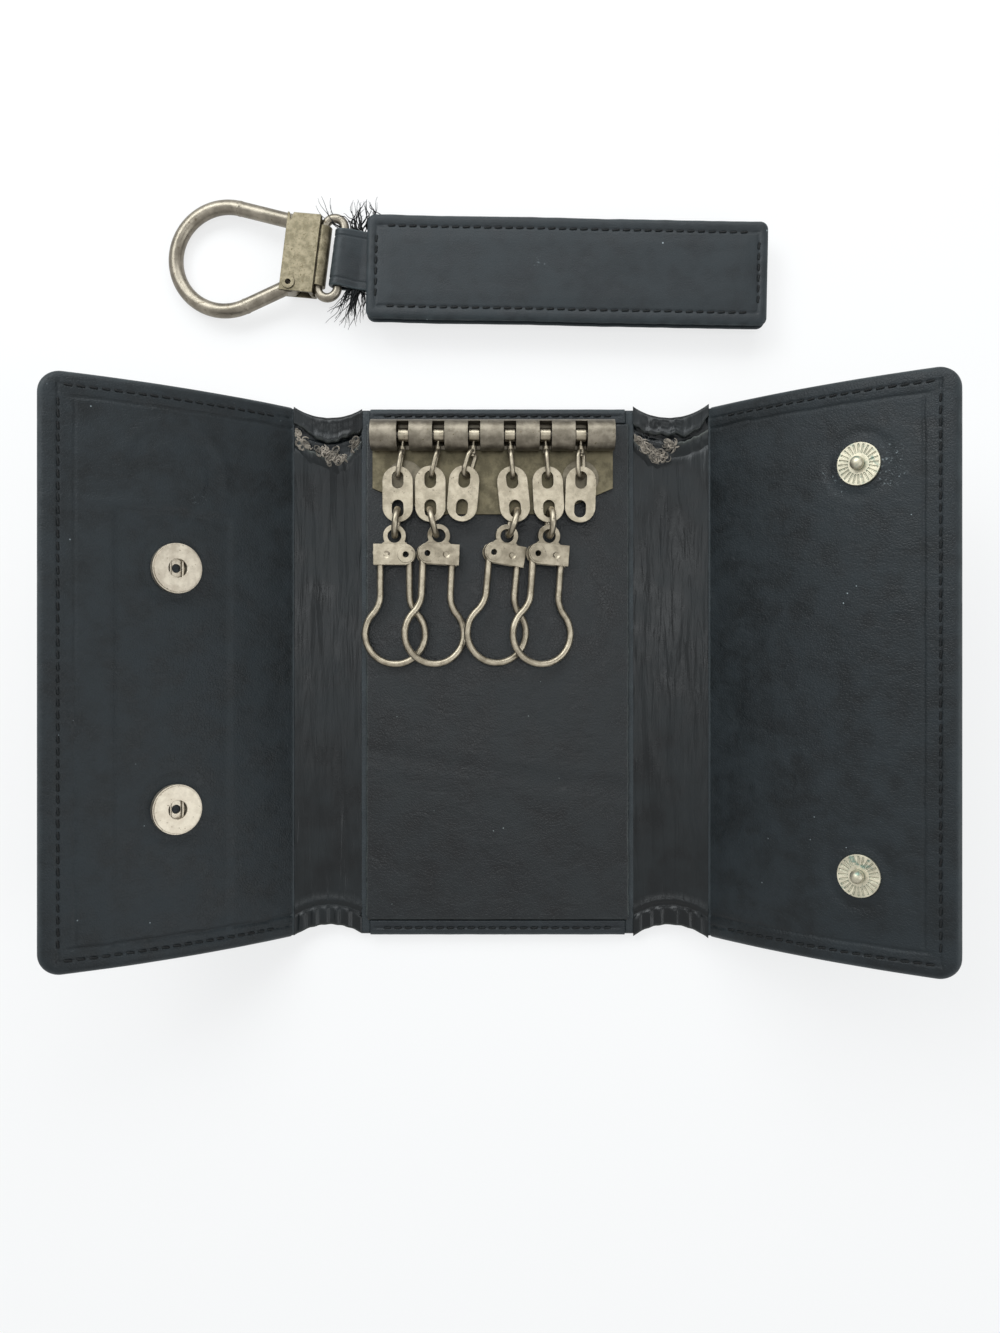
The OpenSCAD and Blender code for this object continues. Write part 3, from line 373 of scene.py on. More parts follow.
# A closed sheet of leather: lines across it, a place function, and heights for both faces
def leatherSheet(name, xs, ys, corners, place, top, bottom, mat, marks=None, cutSide=()):
    gx, gy = np.meshgrid(xs, ys, indexing="ij")
    x, y, depth = roundCorners(gx, gy, corners, cutSide)
    high, low = top(x, y, depth), bottom(x, y, depth)
    verts = np.concatenate([place(x, y, high).reshape(-1, 3), place(x, y, low).reshape(-1, 3)])
    nx, ny = x.shape
    index = np.arange(nx * ny).reshape(nx, ny)
    a, b = index[:-1, :-1].ravel(), index[1:, :-1].ravel()
    c, d = index[1:, 1:].ravel(), index[:-1, 1:].ravel()
    faces = np.stack([a, b, c, d], 1).tolist() + (np.stack([a, d, c, b], 1) + nx * ny).tolist()
    ring = np.concatenate([index[:, 0], index[-1, 1:], index[-2::-1, -1], index[0, -2:0:-1]])
    after = np.roll(ring, -1)
    faces += np.stack([ring, ring + nx * ny, after + nx * ny, after], 1).tolist()
    # place() of a mirrored side turns the faces over
    p = verts[index[nx // 2, ny // 2]], verts[index[nx // 2 + 1, ny // 2]], verts[index[nx // 2, ny // 2 + 1]]
    up = verts[index[nx // 2, ny // 2]] - verts[index[nx // 2, ny // 2] + nx * ny]
    if np.dot(np.cross(p[1] - p[0], p[2] - p[0]), up) < 0:
        faces = [f[::-1] for f in faces]
    obj = makeMesh(name, verts, faces, mat)
    for key, fn in (marks or {}).items():
        value = np.clip(fn(x, y, depth), 0, 1).ravel()
        layer = obj.data.attributes.new(key, "FLOAT", "POINT")
        layer.data.foreach_set("value", np.concatenate([value, value]).astype(np.float32))
    return obj


case = {"half": 52.8, "flap": 48.0, "bow": 137.51, "chord": 47.756, "drop": 135.42,
        "corner": 4.0, "foldX": {-1: 40.667, 1: 42.152}, "foldZ": {-1: 3.307, 1: 3.515},
        "rise": {-1: 36.0, 1: 39.6}, "hinge": 27.1, "gussetWide": {-1: 13.7, 1: 15.2}, "gussetTop": 1.4,
        "gussetRise": 8.0, "gatherR": 12.2, "gatherDip": 2.2}  # millimetres and degrees, as the solids have them
sideName = {-1: "left", 1: "right"}
fineGrid = 0.52  # millimetres between grid lines where stitches draw the leather down


def onFlap(side):  # x runs from the fold along the bowed flap, h is height over its inner face
    rise = math.radians(case["rise"][side])

    def place(x, y, h):
        turn = math.radians(10) - x / case["bow"]
        u = case["chord"] / 2 - (case["bow"] + h) * np.sin(turn)
        v = (case["bow"] + h) * np.cos(turn) - case["drop"]
        out = case["foldX"][side] + u * math.cos(rise) - v * math.sin(rise)
        return np.stack([side * out, y + 0 * out, case["foldZ"][side] + u * math.sin(rise) + v * math.cos(rise)], -1)
    return place


def onGusset(side):
    rise = math.radians(case["gussetRise"])

    def place(x, y, h):
        dip = np.sqrt(np.maximum(case["gatherR"] ** 2 - (x - case["gussetWide"][side] / 2) ** 2, 0))
        dip = dip - case["gatherR"] + case["gatherDip"]
        out = case["hinge"] + x * math.cos(rise) - h * math.sin(rise)
        return np.stack([side * out, y * (1 - dip / case["half"]),
                         case["gussetTop"] + x * math.sin(rise) + h * math.cos(rise)], -1)
    return place


def flatPlace(x, y, h):
    return np.stack([x + 0 * h, y + 0 * h, h], -1)


flapSeam = {"seamEnds": 2.5, "seamSide": 3.3, "creaseEnds": 4.4, "creaseSide": 6.0, "seamDip": 0.2,
            "creaseDip": {-1: 0.28, 1: 0.22}, "rimPuff": 0.14, "roll": 1.0}
strapMark = {"from": 14.4, "to": 34.8, "low": -50.0, "high": 28.9, "dip": 0.22, "soft": 1.1,
             "ring": (24.5, 36.5), "ringR": 9.6}


def flapTop(side):
    def top(x, y, depth):
        end = case["half"] - np.abs(y)
        tip = case["flap"] - x
        wave = wobbles(x / 7, y / 7, 3 + side)
        h = 0.10 * wobbles(x / 15, y / 19, side) + 0.05 * wave
        h += flapSeam["rimPuff"] * bumpAt(depth, 2.2, 2.4)
        inside = smoothStep(x, 2.0, 5.0)
        # the seam draws the leather down, and a crease runs along the board's edge inside it
        seam = np.maximum(bumpAt(end, flapSeam["seamEnds"], 0.45) * (tip > 3.0),
                          bumpAt(tip, flapSeam["seamSide"], 0.45) * (end > 2.4))
        along = np.where(end < 3.4, x, y)
        hole = 0.5 - 0.5 * np.cos(2 * math.pi * along / 2.1)
        h -= seam * (0.06 + flapSeam["seamDip"] * hole)
        shift = 0.22 * wobbles(x / 5, y * 0, 9) + 0.1 * wobbles(x / 1.3, y * 0, 4)
        crease = bumpAt(end + shift, flapSeam["creaseEnds"], 0.4) * smoothStep(tip, 4.6, 5.6)
        shift = 0.2 * wobbles(x * 0, y / 6, 7)
        sideCrease = bumpAt(tip + shift, flapSeam["creaseSide"], 0.45) * smoothStep(end, 4.0, 5.4)
        h -= flapSeam["creaseDip"][side] * np.maximum(crease, (0.45 if side < 0 else 0.9) * sideCrease)
        # fine wrinkles that fan out of the fold
        near = 1 - smoothStep(x, 4, 20)
        h += 0.07 * near * wobbles(x / 5, y / 1.1, 11 + side) * inside
        if side < 0:
            s = strapMark
            soft = s["soft"]
            across = smoothStep(x, s["from"] - soft, s["from"]) * (1 - smoothStep(x, s["to"], s["to"] + soft))
            upward = smoothStep(y, s["low"] - soft, s["low"]) * (1 - smoothStep(y, s["high"], s["high"] + soft))
            ring = np.hypot(x - s["ring"][0], y - s["ring"][1])
            h -= s["dip"] * across * upward
            h += 0.16 * bumpAt(ring, s["ringR"], 1.8) * smoothStep(y, 32, 38) - 0.1 * smoothStep(9, 6, ring) * (y > 28)
            h += 0.12 * bumpAt(y, s["high"] + 1.4, 1.4) * smoothStep(x, 8, 14)
        # where a snap is set, the leather is drawn in a little round its flange
        for snapY in flapSnap[side]["ys"]:
            r = np.hypot(x - flapSnap[side]["x"], y - snapY)
            h *= smoothStep(r, 2.0, 5.2)
            h -= 0.16 * bumpAt(r, 5.6, 1.6)
        h -= rolled(depth, flapSeam["roll"])
        h -= rolled(x, 0.12)
        return h
    return top


flapSnap = {-1: {"x": 24.5, "ys": (-25.1, 19.1)}, 1: {"x": 31.0, "ys": (-36.3, 37.3)}}


# Paler at the rolled rim and the cut edge: rubbed wear, with a painted highlight on the rolled rim
def flapWearAndHighlight(x, y, depth):
    edge = 0.55 * (1 - smoothStep(depth, 0.15, 0.9)) * (0.6 + 0.5 * wobbles(x / 3, y / 3, 2))
    cut = 0.75 * (1 - smoothStep(x, 0.05, 0.4)) * (0.7 + 0.6 * wobbles(x, y / 0.8, 5))
    return np.maximum(edge, cut)


drySpots = {  # where along and up the flap, how wide, how strong
    -1: [(20.0, 32.0, 2.0, 0.25)],
    1: [(36.6, 38.4, 3.4, 0.7), (36.8, 34.6, 2.8, 0.9), (25.6, 36.0, 2.6, 0.5), (27.5, 33.4, 2.4, 0.55)]}


def dryAt(side):
    def fn(x, y, depth):
        out = 0 * x
        for spotX, spotY, r, much in drySpots[side]:
            out = np.maximum(out, much * (1 - smoothStep(np.hypot((x - spotX) / 1.2, y - spotY), 0.2 * r, r)))
        return out
    return fn


for side in (-1, 1):
    c = case
    body = sideName[side] + "_flap"
    xs = gridLines(0.1, c["flap"], fineGrid, [(c["flap"] - flapSeam["seamSide"], 0.6),
                                              (c["flap"] - flapSeam["creaseSide"], 0.7)])
    ys = gridLines(-c["half"], c["half"], fineGrid, bothEnds(c["half"] - flapSeam["seamEnds"], 0.6)
                   + bothEnds(c["half"] - flapSeam["creaseEnds"], 0.8))
    corners = {(1, -1): c["corner"], (1, 1): c["corner"]}
    inner = leatherSheet(sideName[side] + "FlapLining", xs, ys, corners, onFlap(side), flapTop(side),
                         lambda x, y, d: np.where(d > 2.3, -0.6, -1.15) + 0 * x,
                         flapLeather,
                         {"rubbedAndHighlight": flapWearAndHighlight, "dryPatch": dryAt(side)}, ("x0",))
    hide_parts(sideName[side] + "_pocket_panel")
    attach(inner, body)
    xs = gridLines(1.5, c["flap"], 1.5)
    ys = gridLines(-c["half"], c["half"], 1.6)
    outer = leatherSheet(sideName[side] + "FlapSkin", xs, ys, corners, onFlap(side),
                         lambda x, y, d: np.where(d > 2.3, -1.2, -1.16) + 0 * x,
                         lambda x, y, d: -2.1 + rolled(d, 0.85) + 0.05 * wobbles(x / 9, y / 9, 4),
                         outerLeather,
                         {"rubbedAndHighlight": lambda x, y, d: 0.5 * (1 - smoothStep(d, 0.2, 1.0))}, ("x0",))
    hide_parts("shell_" + sideName[side] + "_flap")
    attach(outer, body)


gather = {"pleats": 6, "long": 4.0, "high": 0.38}


def gussetTop(side):
    wide = case["gussetWide"][side]

    def top(x, y, depth):
        end = case["half"] - np.abs(y)
        lean = wobbles(x / 3, y / 22, 6 + side)
        h = 0.16 * lean + 0.1 * wobbles(x / 1.4, y / 9, 2) - 0.14
        # gathered ends: pleats that fade along the gusset, drawn down at the stitch row
        wave = np.sin(x / wide * math.pi * 2 * gather["pleats"] + 1.3 * wobbles(x / 4, y * 0, 8 + side))
        fade = 1 - smoothStep(end, gather["long"] * 0.75, gather["long"] * 1.1)
        h += gather["high"] * (0.35 + 0.65 * wave) * fade
        h -= 0.3 * bumpAt(end, gather["long"] + 0.2, 0.7)
        h += 0.25 * bumpAt(end, gather["long"] + 1.3, 1.0)
        h = np.where(y > 0, h - 0.45 * smoothStep(end, 8.6, 7.2), h)  # hollow behind the tear
        return h - rolled(end, 0.35)
    return top


def leatherGusset(side):
    wide = case["gussetWide"][side]
    body = sideName[side] + "_gusset"
    xs = gridLines(0.15, wide - 0.15, 0.45)
    ys = gridLines(-case["half"], case["half"], 0.9, bothEnds(case["half"] - gather["long"] - 0.4, 1.4)
                   + bothEnds(case["half"] - gather["long"] * 0.55, 1.4))
    lining = leatherSheet(sideName[side] + "GussetLining", xs, ys, {}, onGusset(side), gussetTop(side),
                          lambda x, y, d: -0.75 + 0 * x, gussetLeather,
                          {"rubbedAndHighlight": lambda x, y, d: 0.5 * (1 - smoothStep(case["half"] - np.abs(y), 0.1, 0.6))})
    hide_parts(body + "_lining")
    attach(lining, body)
    pleat = lambda x, y: 0.3 * np.sin(x / wide * math.pi * 2 * gather["pleats"]) * (
        1 - smoothStep(case["half"] - np.abs(y), 2.5, 4.5))
    skin = leatherSheet(sideName[side] + "GussetSkin", gridLines(0.15, wide - 0.15, 0.6), ys, {}, onGusset(side),
                        lambda x, y, d: -0.77 + 0 * x,
                        lambda x, y, d: -1.4 + rolled(case["half"] - np.abs(y), 0.4) * 0.9 + 0.12 * np.abs(pleat(x, y)),
                        outerLeather,
                        {"rubbedAndHighlight": lambda x, y, d: 0.4 * (1 - smoothStep(d, 0.1, 0.6))})
    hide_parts("shell_" + body)
    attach(skin, body)


# The skin runs on over each fold: a short strip shaped round the fold between two bodies, baked in place on neither
# body
def foldStrip(name, upper, lower, half, a, b, start, end):
    ts = np.linspace(0, 1, 9)
    t = ts[:, None]
    curve = lambda p: (1 - t) ** 2 * p[0] + 2 * ((1 - t) * t) * p[1] + t ** 2 * p[2]
    up, low = curve([np.array(p) for p in upper]), curve([np.array(p) for p in lower])
    ys = gridLines(-half, half, 1.5)

    def place(x, y, h):
        k = np.clip(np.round(x * 8).astype(int), 0, 8)
        mix = np.clip(h, 0, 1)[..., None]
        point = low[k] * (1 - mix) + up[k] * mix
        return np.stack([point[..., 0], y + 0 * h, point[..., 1]], -1)
    squeeze = lambda y: 0.5 * np.clip(1 - (half - np.abs(y)) / 0.6, 0, 1) ** 2
    obj = leatherSheet(name, ts, ys, {}, place, lambda x, y, d: 1 - squeeze(y), lambda x, y, d: squeeze(y),
                       # the fold's bend painted paler all over: some wear, mostly a painted highlight on the bend
                       outerLeather, {"rubbedAndHighlight": lambda x, y, d: 0.25 + 0.2 * wobbles(x, y / 2, 3)})
    tuple(c * mm for c in start)
    tuple(c * mm for c in end)
    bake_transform(obj)
    return obj


def corner2d(place, x, h):  # the (X, Z) of a point in a gusset's or flap's section
    p = place(np.array(x, float), np.array(0.0), np.array(h, float))
    return (float(p[0]), float(p[2]))


fold = {"backX": 25.5, "backZ": 1.42, "hingeX": 27.1, "hingeZ": 1.4, "underX": 27.0, "blendX": (26.2, 27.6),
        "backHalf": 52.7, "flapHalf": 52.6, "top": -0.1, "gussetLow": -1.4, "flapTop": -0.7, "flapLow": -2.1}
for side in (-1, 1):
    leatherGusset(side)
    gussetAt, flapAt = onGusset(side), onFlap(side)
    wide = case["gussetWide"][side]
    body = sideName[side] + "_gusset"
    f = fold
    foldStrip(sideName[side] + "BackFold",
              [(side * f["backX"], f["backZ"]), (side * f["hingeX"], f["hingeZ"]), corner2d(gussetAt, 0.2, f["top"])],
              [(side * f["backX"], 0.0), (side * f["underX"], 0.0), corner2d(gussetAt, 0.2, f["gussetLow"])],
              f["backHalf"], "back", body, *[(side * x, 0, f["hingeZ"]) for x in f["blendX"]])
    upper = [corner2d(gussetAt, wide - 0.2, f["top"]), corner2d(gussetAt, wide, f["top"]),
             corner2d(flapAt, 1.55, f["flapTop"])]
    lower = [corner2d(gussetAt, wide - 0.2, f["gussetLow"]), corner2d(gussetAt, wide + 0.7, f["gussetLow"]),
             corner2d(flapAt, 1.55, f["flapLow"])]
    start, end = corner2d(gussetAt, wide - 0.8, 0), corner2d(flapAt, 1.2, 0)
    foldStrip(sideName[side] + "FlapFold", upper, lower, f["flapHalf"], body, sideName[side] + "_flap",
              (start[0], 0, start[1]), (end[0], 0, end[1]))

backPanel = {"wide": 25.5, "hem": 3.0, "seam": 1.55, "seamX": 23.5, "grooveX": 24.8, "liningX": 26.3,
             "liningY": 49.7}


def backTop(x, y, depth):
    end = case["half"] - np.abs(y)
    h = 0.88 + 1.22 * smoothStep(end, backPanel["hem"] + 0.08, backPanel["hem"] - 0.08)
    h += (0.12 * wobbles(x / 4, y * 0, 5) + 0.08 * wobbles(x / 1.1, y * 0, 9)) * (end < backPanel["hem"])
    h -= 0.18 * bumpAt(end, backPanel["seam"], 0.4) * (np.abs(x) < backPanel["grooveX"])
    return np.where(end < 1.0, np.maximum(h - rolled(end, 1.0), 1.05 + 0.001), h)


xs = gridLines(-backPanel["wide"], backPanel["wide"], 1.0)
ys = gridLines(-case["half"], case["half"], 1.4, bothEnds(case["half"] - backPanel["hem"], 0.3)
               + bothEnds(case["half"] - backPanel["seam"], 0.5))
back = leatherSheet("backSkin", xs, ys, {}, flatPlace, backTop,
                    lambda x, y, d: np.where(case["half"] - np.abs(y) < 1.0,
                                             rolled(case["half"] - np.abs(y), 1.0), 0.0),
                    outerLeather,
                    {"rubbedAndHighlight": lambda x, y, d: 0.4 * (1 - smoothStep(case["half"] - np.abs(y), 0.2, 1.2))})
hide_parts("shell_center")
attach(back, "back")


def liningTop(x, y, depth):
    h = 2.0 + 0.1 * wobbles(x / 8, y / 12, 3) + 0.05 * wobbles(x / 2.2, y / 3.5, 5)
    # keys and rings have pressed a hollow under the bar and left a swell beside it
    h -= 0.28 * np.exp(-((x - 2) / 15) ** 2 - ((y - 30) / 5) ** 2)
    h += (0.12 * np.exp(-((x + 19) / 4) ** 2 - ((y - 28) / 7) ** 2)
          + 0.12 * np.exp(-((x - 20) / 4) ** 2 - ((y - 27) / 6) ** 2))
    h -= 0.1 * bumpAt(y + 20 + 0.15 * x, 0, 3)
    return h - rolled(depth, 0.22) + 0.05 * bumpAt(depth, 0.6, 0.5) * wobbles(x / 0.7, y / 0.7, 2)


def liningPlace(x, y, h):
    ragged = 0.16 * wobbles(x * 0, y / 1.6, 13) + 0.22 * wobbles(x * 0, y / 9, 4)
    return np.stack([x + np.sign(x) * ragged * smoothStep(np.abs(x), 24.5, 26.3), y + 0 * h, h], -1)


xs = gridLines(-backPanel["liningX"], backPanel["liningX"], 0.8)
ys = gridLines(-backPanel["liningY"], backPanel["liningY"], 0.8)
lining = leatherSheet("centreLining", xs, ys, {(1, -1): 1.2, (-1, -1): 1.2}, liningPlace, liningTop,
                      lambda x, y, d: 1.5 + 0 * x, centreLeather,
                      {"rubbedAndHighlight": lambda x, y, d: 0.85 * (1 - smoothStep(backPanel["liningX"] - np.abs(x), 0.08, 0.4))
                       * (0.6 + 0.7 * wobbles(x, y / 0.7, 5)) + 0.1 * bumpAt(y, -49.5, 0.4)})
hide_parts("center_lining")
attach(lining, "back")

print("key case: strap fob")
strap = {"at": (13.7, 79.2), "turn": -1.1, "base": 2.6, "long": 39.5, "wide": 10.25, "corner": 1.6, "inset": 0.7,
         "seamEnds": 1.9, "seamSide": 2.35, "dip": 0.2}


def strapPlace(x, y, h):
    a = math.radians(strap["turn"])
    sway = 0.22 * wobbles(x / 16, y * 0, 21) + 0.05 * wobbles(x / 3, y * 0, 22)
    y = y + sway * smoothStep(np.abs(y), 6, 10)
    return np.stack([strap["at"][0] + x * math.cos(a) - y * math.sin(a),
                     strap["at"][1] + x * math.sin(a) + y * math.cos(a), strap["base"] + h], -1)


def strapTop(x, y, depth):
    side, end = strap["wide"] - np.abs(y), strap["long"] - np.abs(x)
    h = 3.6 + 0.06 * wobbles(x / 9, y / 6, 2) + 0.03 * wobbles(x / 2.5, y / 3, 4)
    h += 0.14 * smoothStep(depth, 2.5, 5.0)
    row = np.maximum(bumpAt(side, strap["seamSide"], 0.5) * (end > 1.6),
                     bumpAt(end, strap["seamEnds"], 0.5) * (side > 2.1))
    along = np.where(side < 3.2, x, y)
    hole = 0.5 - 0.5 * np.cos(2 * math.pi * along / stitch["pitch"])
    h -= row * (0.08 + strap["dip"] * hole)
    h += 0.1 * bumpAt(depth, 1.1, 0.9) * (1 - 0.5 * hole)
    return h - rolled(depth, 0.8)


stitch = {"pitch": 2.1, "long": 1.62, "thick": 0.24, "lift": 0.16, "sink": 0.2}
xs = gridLines(-strap["long"], strap["long"], fineGrid, bothEnds(strap["long"] - strap["seamEnds"], 0.5))
ys = gridLines(-strap["wide"], strap["wide"], fineGrid, bothEnds(strap["wide"] - strap["seamSide"], 0.5))
corners = {(sx, sy): strap["corner"] for sx in (-1, 1) for sy in (-1, 1)}
front = leatherSheet("strapFront", xs, ys, corners, strapPlace, strapTop,
                     lambda x, y, d: 2.6 + 0.05 * wobbles(x / 6, y, 5) + rolled(d, 0.25), strapLeather,
                     {"rubbedAndHighlight": lambda x, y, d: (0.5 * (1 - smoothStep(d, 0.1, 0.8))
                                                 * (0.6 + 0.5 * wobbles(x / 2, y / 2, 3))),
                      "dryPatch": lambda x, y, d: 0.3 * bumpAt(x, -6, 3) * bumpAt(y, 1, 2)})
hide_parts("strap_front")
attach(front, "fob_strap")
xs = gridLines(-strap["long"], strap["long"], 1.2)
ys = gridLines(-strap["wide"], strap["wide"], 1.2)
rear = leatherSheet("strapBack", xs, ys, corners, strapPlace, lambda x, y, d: 1.0 - rolled(d, 0.2),
                    lambda x, y, d: 0.04 * wobbles(x / 8, y / 8, 3) + rolled(d, 0.7), outerLeather,
                    {"rubbedAndHighlight": lambda x, y, d: 0.5 * (1 - smoothStep(d, 0.2, 0.9))})
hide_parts("strap_back")
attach(rear, "fob_strap")
inset = strap["inset"]
xs = gridLines(-strap["long"] + inset, strap["long"] - inset, 2.0)
ys = gridLines(-strap["wide"] + inset, strap["wide"] - inset, 2.0)
core = leatherSheet("strapCore", xs, ys, {key: 1.0 for key in corners}, strapPlace, lambda x, y, d: 2.6 + 0 * x,
                    lambda x, y, d: 1.02 + 0 * x, outerLeather)
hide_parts("strap_core")
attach(core, "fob_strap")

# The neck: one ply of leather round the hook's bar, its two ends glued together in the strap
neck = {"bar": (-31.0, 81.8, 4.4), "turn": 173.0, "wide": 11.6, "mid": 1.42, "ply": 0.72, "tongue": -8.4, "taper": -4.0,
        "seam": 1.5}
angles = np.radians(np.linspace(-90, 90, 17))
path = np.array([(neck["tongue"], -0.4), (neck["taper"] - 1.5, -0.4), (neck["taper"], -0.42), (-2.6, -0.8),
                 (-1.2, -1.22)]
                + [(neck["mid"] * math.cos(a), neck["mid"] * math.sin(a)) for a in angles])
path = np.concatenate([path, (path[:5] * [1, -1])[::-1]])
run = np.concatenate([[0], np.cumsum(np.hypot(*np.diff(path, axis=0).T))])
slope = np.gradient(path, run, axis=0)
slope /= np.hypot(slope[:, 0], slope[:, 1])[:, None]


def neckPlace(x, y, h):
    at = [np.interp(x, run, path[:, k]) for k in (0, 1)]
    t = [np.interp(x, run, slope[:, k]) for k in (0, 1)]
    size = np.sqrt(t[0] ** 2 + t[1] ** 2)
    u, z = at[0] + h * t[1] / size, at[1] - h * t[0] / size
    a = math.radians(neck["turn"])
    y = y * (1 - 0.035 * smoothStep(u, -5, 1))
    return np.stack([neck["bar"][0] + u * math.cos(a) - y * math.sin(a),
                     neck["bar"][1] + u * math.sin(a) + y * math.cos(a), neck["bar"][2] + z], -1)


def neckTop(x, y, depth):
    edge = neck["wide"] / 2 - np.abs(y)
    h = neck["ply"] / 2 + 0.05 * wobbles(x / 2.0, y / 2.2, 7) + 0.06 * wobbles(x / 6, y / 0.9, 3)
    h -= 0.12 * bumpAt(edge, neck["seam"], 0.35)
    return h - 0.9 * rolled(edge, 0.3)


wide = neck["wide"] / 2
loop = leatherSheet("strapNeck", gridLines(0, run[-1], 0.4),
                    gridLines(-wide, wide, 0.5, bothEnds(wide - neck["seam"], 0.4)), {}, neckPlace, neckTop,
                    lambda x, y, d: -neck["ply"] / 2 + 0 * x + 0.3 * rolled(wide - np.abs(y), 0.3),
                    strapLeather,
                    {"rubbedAndHighlight": lambda x, y, d: 0.5 * bumpAt(x, run[-1] / 2, 3.0) * (0.6 + 0.8 * wobbles(x, y / 0.8, 3))
                     + 0.6 * (1 - smoothStep(wide - np.abs(y), 0.05, 0.4))})
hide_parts("strap_core")
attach(loop, "fob_strap")

print("key case: stitches and torn ends")


# Round threads along lists of points, thin at both ends, in one mesh
def tubes(name, paths, thick, mat, sides=6):
    verts, faces = [], []
    ring = np.arange(sides)
    for path, r in zip(paths, thick):
        path = np.asarray(path, float)
        run = np.gradient(path, axis=0)
        run /= np.linalg.norm(run, axis=1)[:, None] + 1e-9
        side = np.cross(run, [0.13, 0.29, 0.95])
        side /= np.linalg.norm(side, axis=1)[:, None] + 1e-9
        rise = np.cross(side, run)
        n = len(path)
        if isinstance(r, tuple):  # a loose end thins from its root to its tip
            taper = np.linspace(r[0], r[1], n)
        else:
            taper = r * np.minimum(1, 0.45 + 3.2 * np.minimum(np.arange(n), n - 1 - np.arange(n)) / (n - 1))
        base = len(verts)
        for i in range(n):
            a = 2 * math.pi * ring / sides
            verts.extend(path[i] + taper[i] * (np.cos(a)[:, None] * side[i] + np.sin(a)[:, None] * rise[i]))
        for i in range(n - 1):
            for k in ring:
                m, here = (k + 1) % sides, base + i * sides
                faces.append((here + k, here + m, here + sides + m, here + sides + k))
        faces.append(tuple(base + k for k in ring[::-1]))
        faces.append(tuple(base + (n - 1) * sides + k for k in ring))
    return makeMesh(name, verts, faces, mat)


# One thread arch for each stitch between two points of a sheet
def stitchRow(place, top, a, b, depthOf):
    a, b = np.array(a, float), np.array(b, float)
    axis = 0 if abs(b[0] - a[0]) > abs(b[1] - a[1]) else 1
    step, paths = stitch["pitch"], []
    first = math.ceil(min(a[axis], b[axis]) / step)
    last = math.floor(max(a[axis], b[axis]) / step)
    for i in range(first, last):
        mid = (i + 0.5) * step
        t = np.linspace(-1, 1, 7) * stitch["long"] / 2
        along = mid + t
        other = a[1 - axis] + 0.12 * t + 0.06 * noise.noise(Vector((i * 1.7, a[1 - axis], 3)))
        x, y = (along, other + 0 * along) if axis == 0 else (other + 0 * along, along)
        h = top(x, y, depthOf(x, y)) + stitch["lift"] * (1 - (2 * np.abs(t) / stitch["long"]) ** 2.2) - 0.05
        h = np.where(np.abs(t) > 0.49 * stitch["long"], h - stitch["sink"], h)
        paths.append(place(x, y, h))
    return paths


for side in (-1, 1):
    c = case
    depthOf = lambda x, y: np.minimum(c["flap"] - x, c["half"] - np.abs(y))
    rows, at = [], c["flap"] - flapSeam["seamSide"]
    for k in (-1, 1):
        rows += stitchRow(onFlap(side), flapTop(side), (3.0, k * (c["half"] - flapSeam["seamEnds"])),
                          (c["flap"] - 3.6, k * (c["half"] - flapSeam["seamEnds"])), depthOf)
    rows += stitchRow(onFlap(side), flapTop(side), (at, -c["half"] + 3.4), (at, c["half"] - 3.4), depthOf)
    obj = tubes(sideName[side] + "FlapStitches", rows, [stitch["thick"]] * len(rows), threadMat)
    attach(obj, sideName[side] + "_flap")

rows = []
depthOf = lambda x, y: np.minimum(strap["long"] - np.abs(x), strap["wide"] - np.abs(y))
for k in (-1, 1):
    at = k * (strap["wide"] - strap["seamSide"])
    rows += stitchRow(strapPlace, strapTop, (-strap["long"] + 2.2, at), (strap["long"] - 2.2, at), depthOf)
    at = k * (strap["long"] - strap["seamEnds"])
    rows += stitchRow(strapPlace, strapTop, (at, -strap["wide"] + 2.7), (at, strap["wide"] - 2.7), depthOf)
obj = tubes("strapStitches", rows, [stitch["thick"]] * len(rows), threadMat)
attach(obj, "fob_strap")

rows = []
depthOf = lambda x, y: case["half"] - np.abs(y)
for k in (-1, 1):
    at = k * (case["half"] - backPanel["seam"])
    rows += stitchRow(flatPlace, backTop, (-backPanel["seamX"], at), (backPanel["seamX"], at), depthOf)
obj = tubes("backStitches", rows, [stitch["thick"]] * len(rows), threadMat)
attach(obj, "back")

# Each gusset's top end: the skin turned over in a dark wavy hem, the lining torn loose below
# it, and the cotton interlining worked out of the tear in curls
torn = {"hem": {-1: 3.9, 1: 3.3}, "wave": 0.7, "thick": 0.55, "lip": 0.45}


def tuckedIn(side, x):  # torn edges lie flatter towards both folds, where the closed case presses them
    return 0.12 + 0.88 * smoothStep(x, 0.3, 4.5) * smoothStep(case["gussetWide"][side] - x, 0.3, 7.0)


def hemDepth(side, x):
    wide = case["gussetWide"][side]
    t = x / wide
    if side < 0:
        swell = 1.1 * np.exp(-((t - 0.45) / 0.25) ** 2) - 0.9 * np.exp(-((t - 0.9) / 0.12) ** 2)
    else:
        swell = (0.5 * np.exp(-((t - 0.25) / 0.2) ** 2) + 0.8 * np.exp(-((t - 0.72) / 0.15) ** 2)
                 - 1.2 * smoothStep(t, 0.85, 1))
    return torn["hem"][side] + swell + torn["wave"] * wobbles(x / 1.6, x * 0, 31 + side)


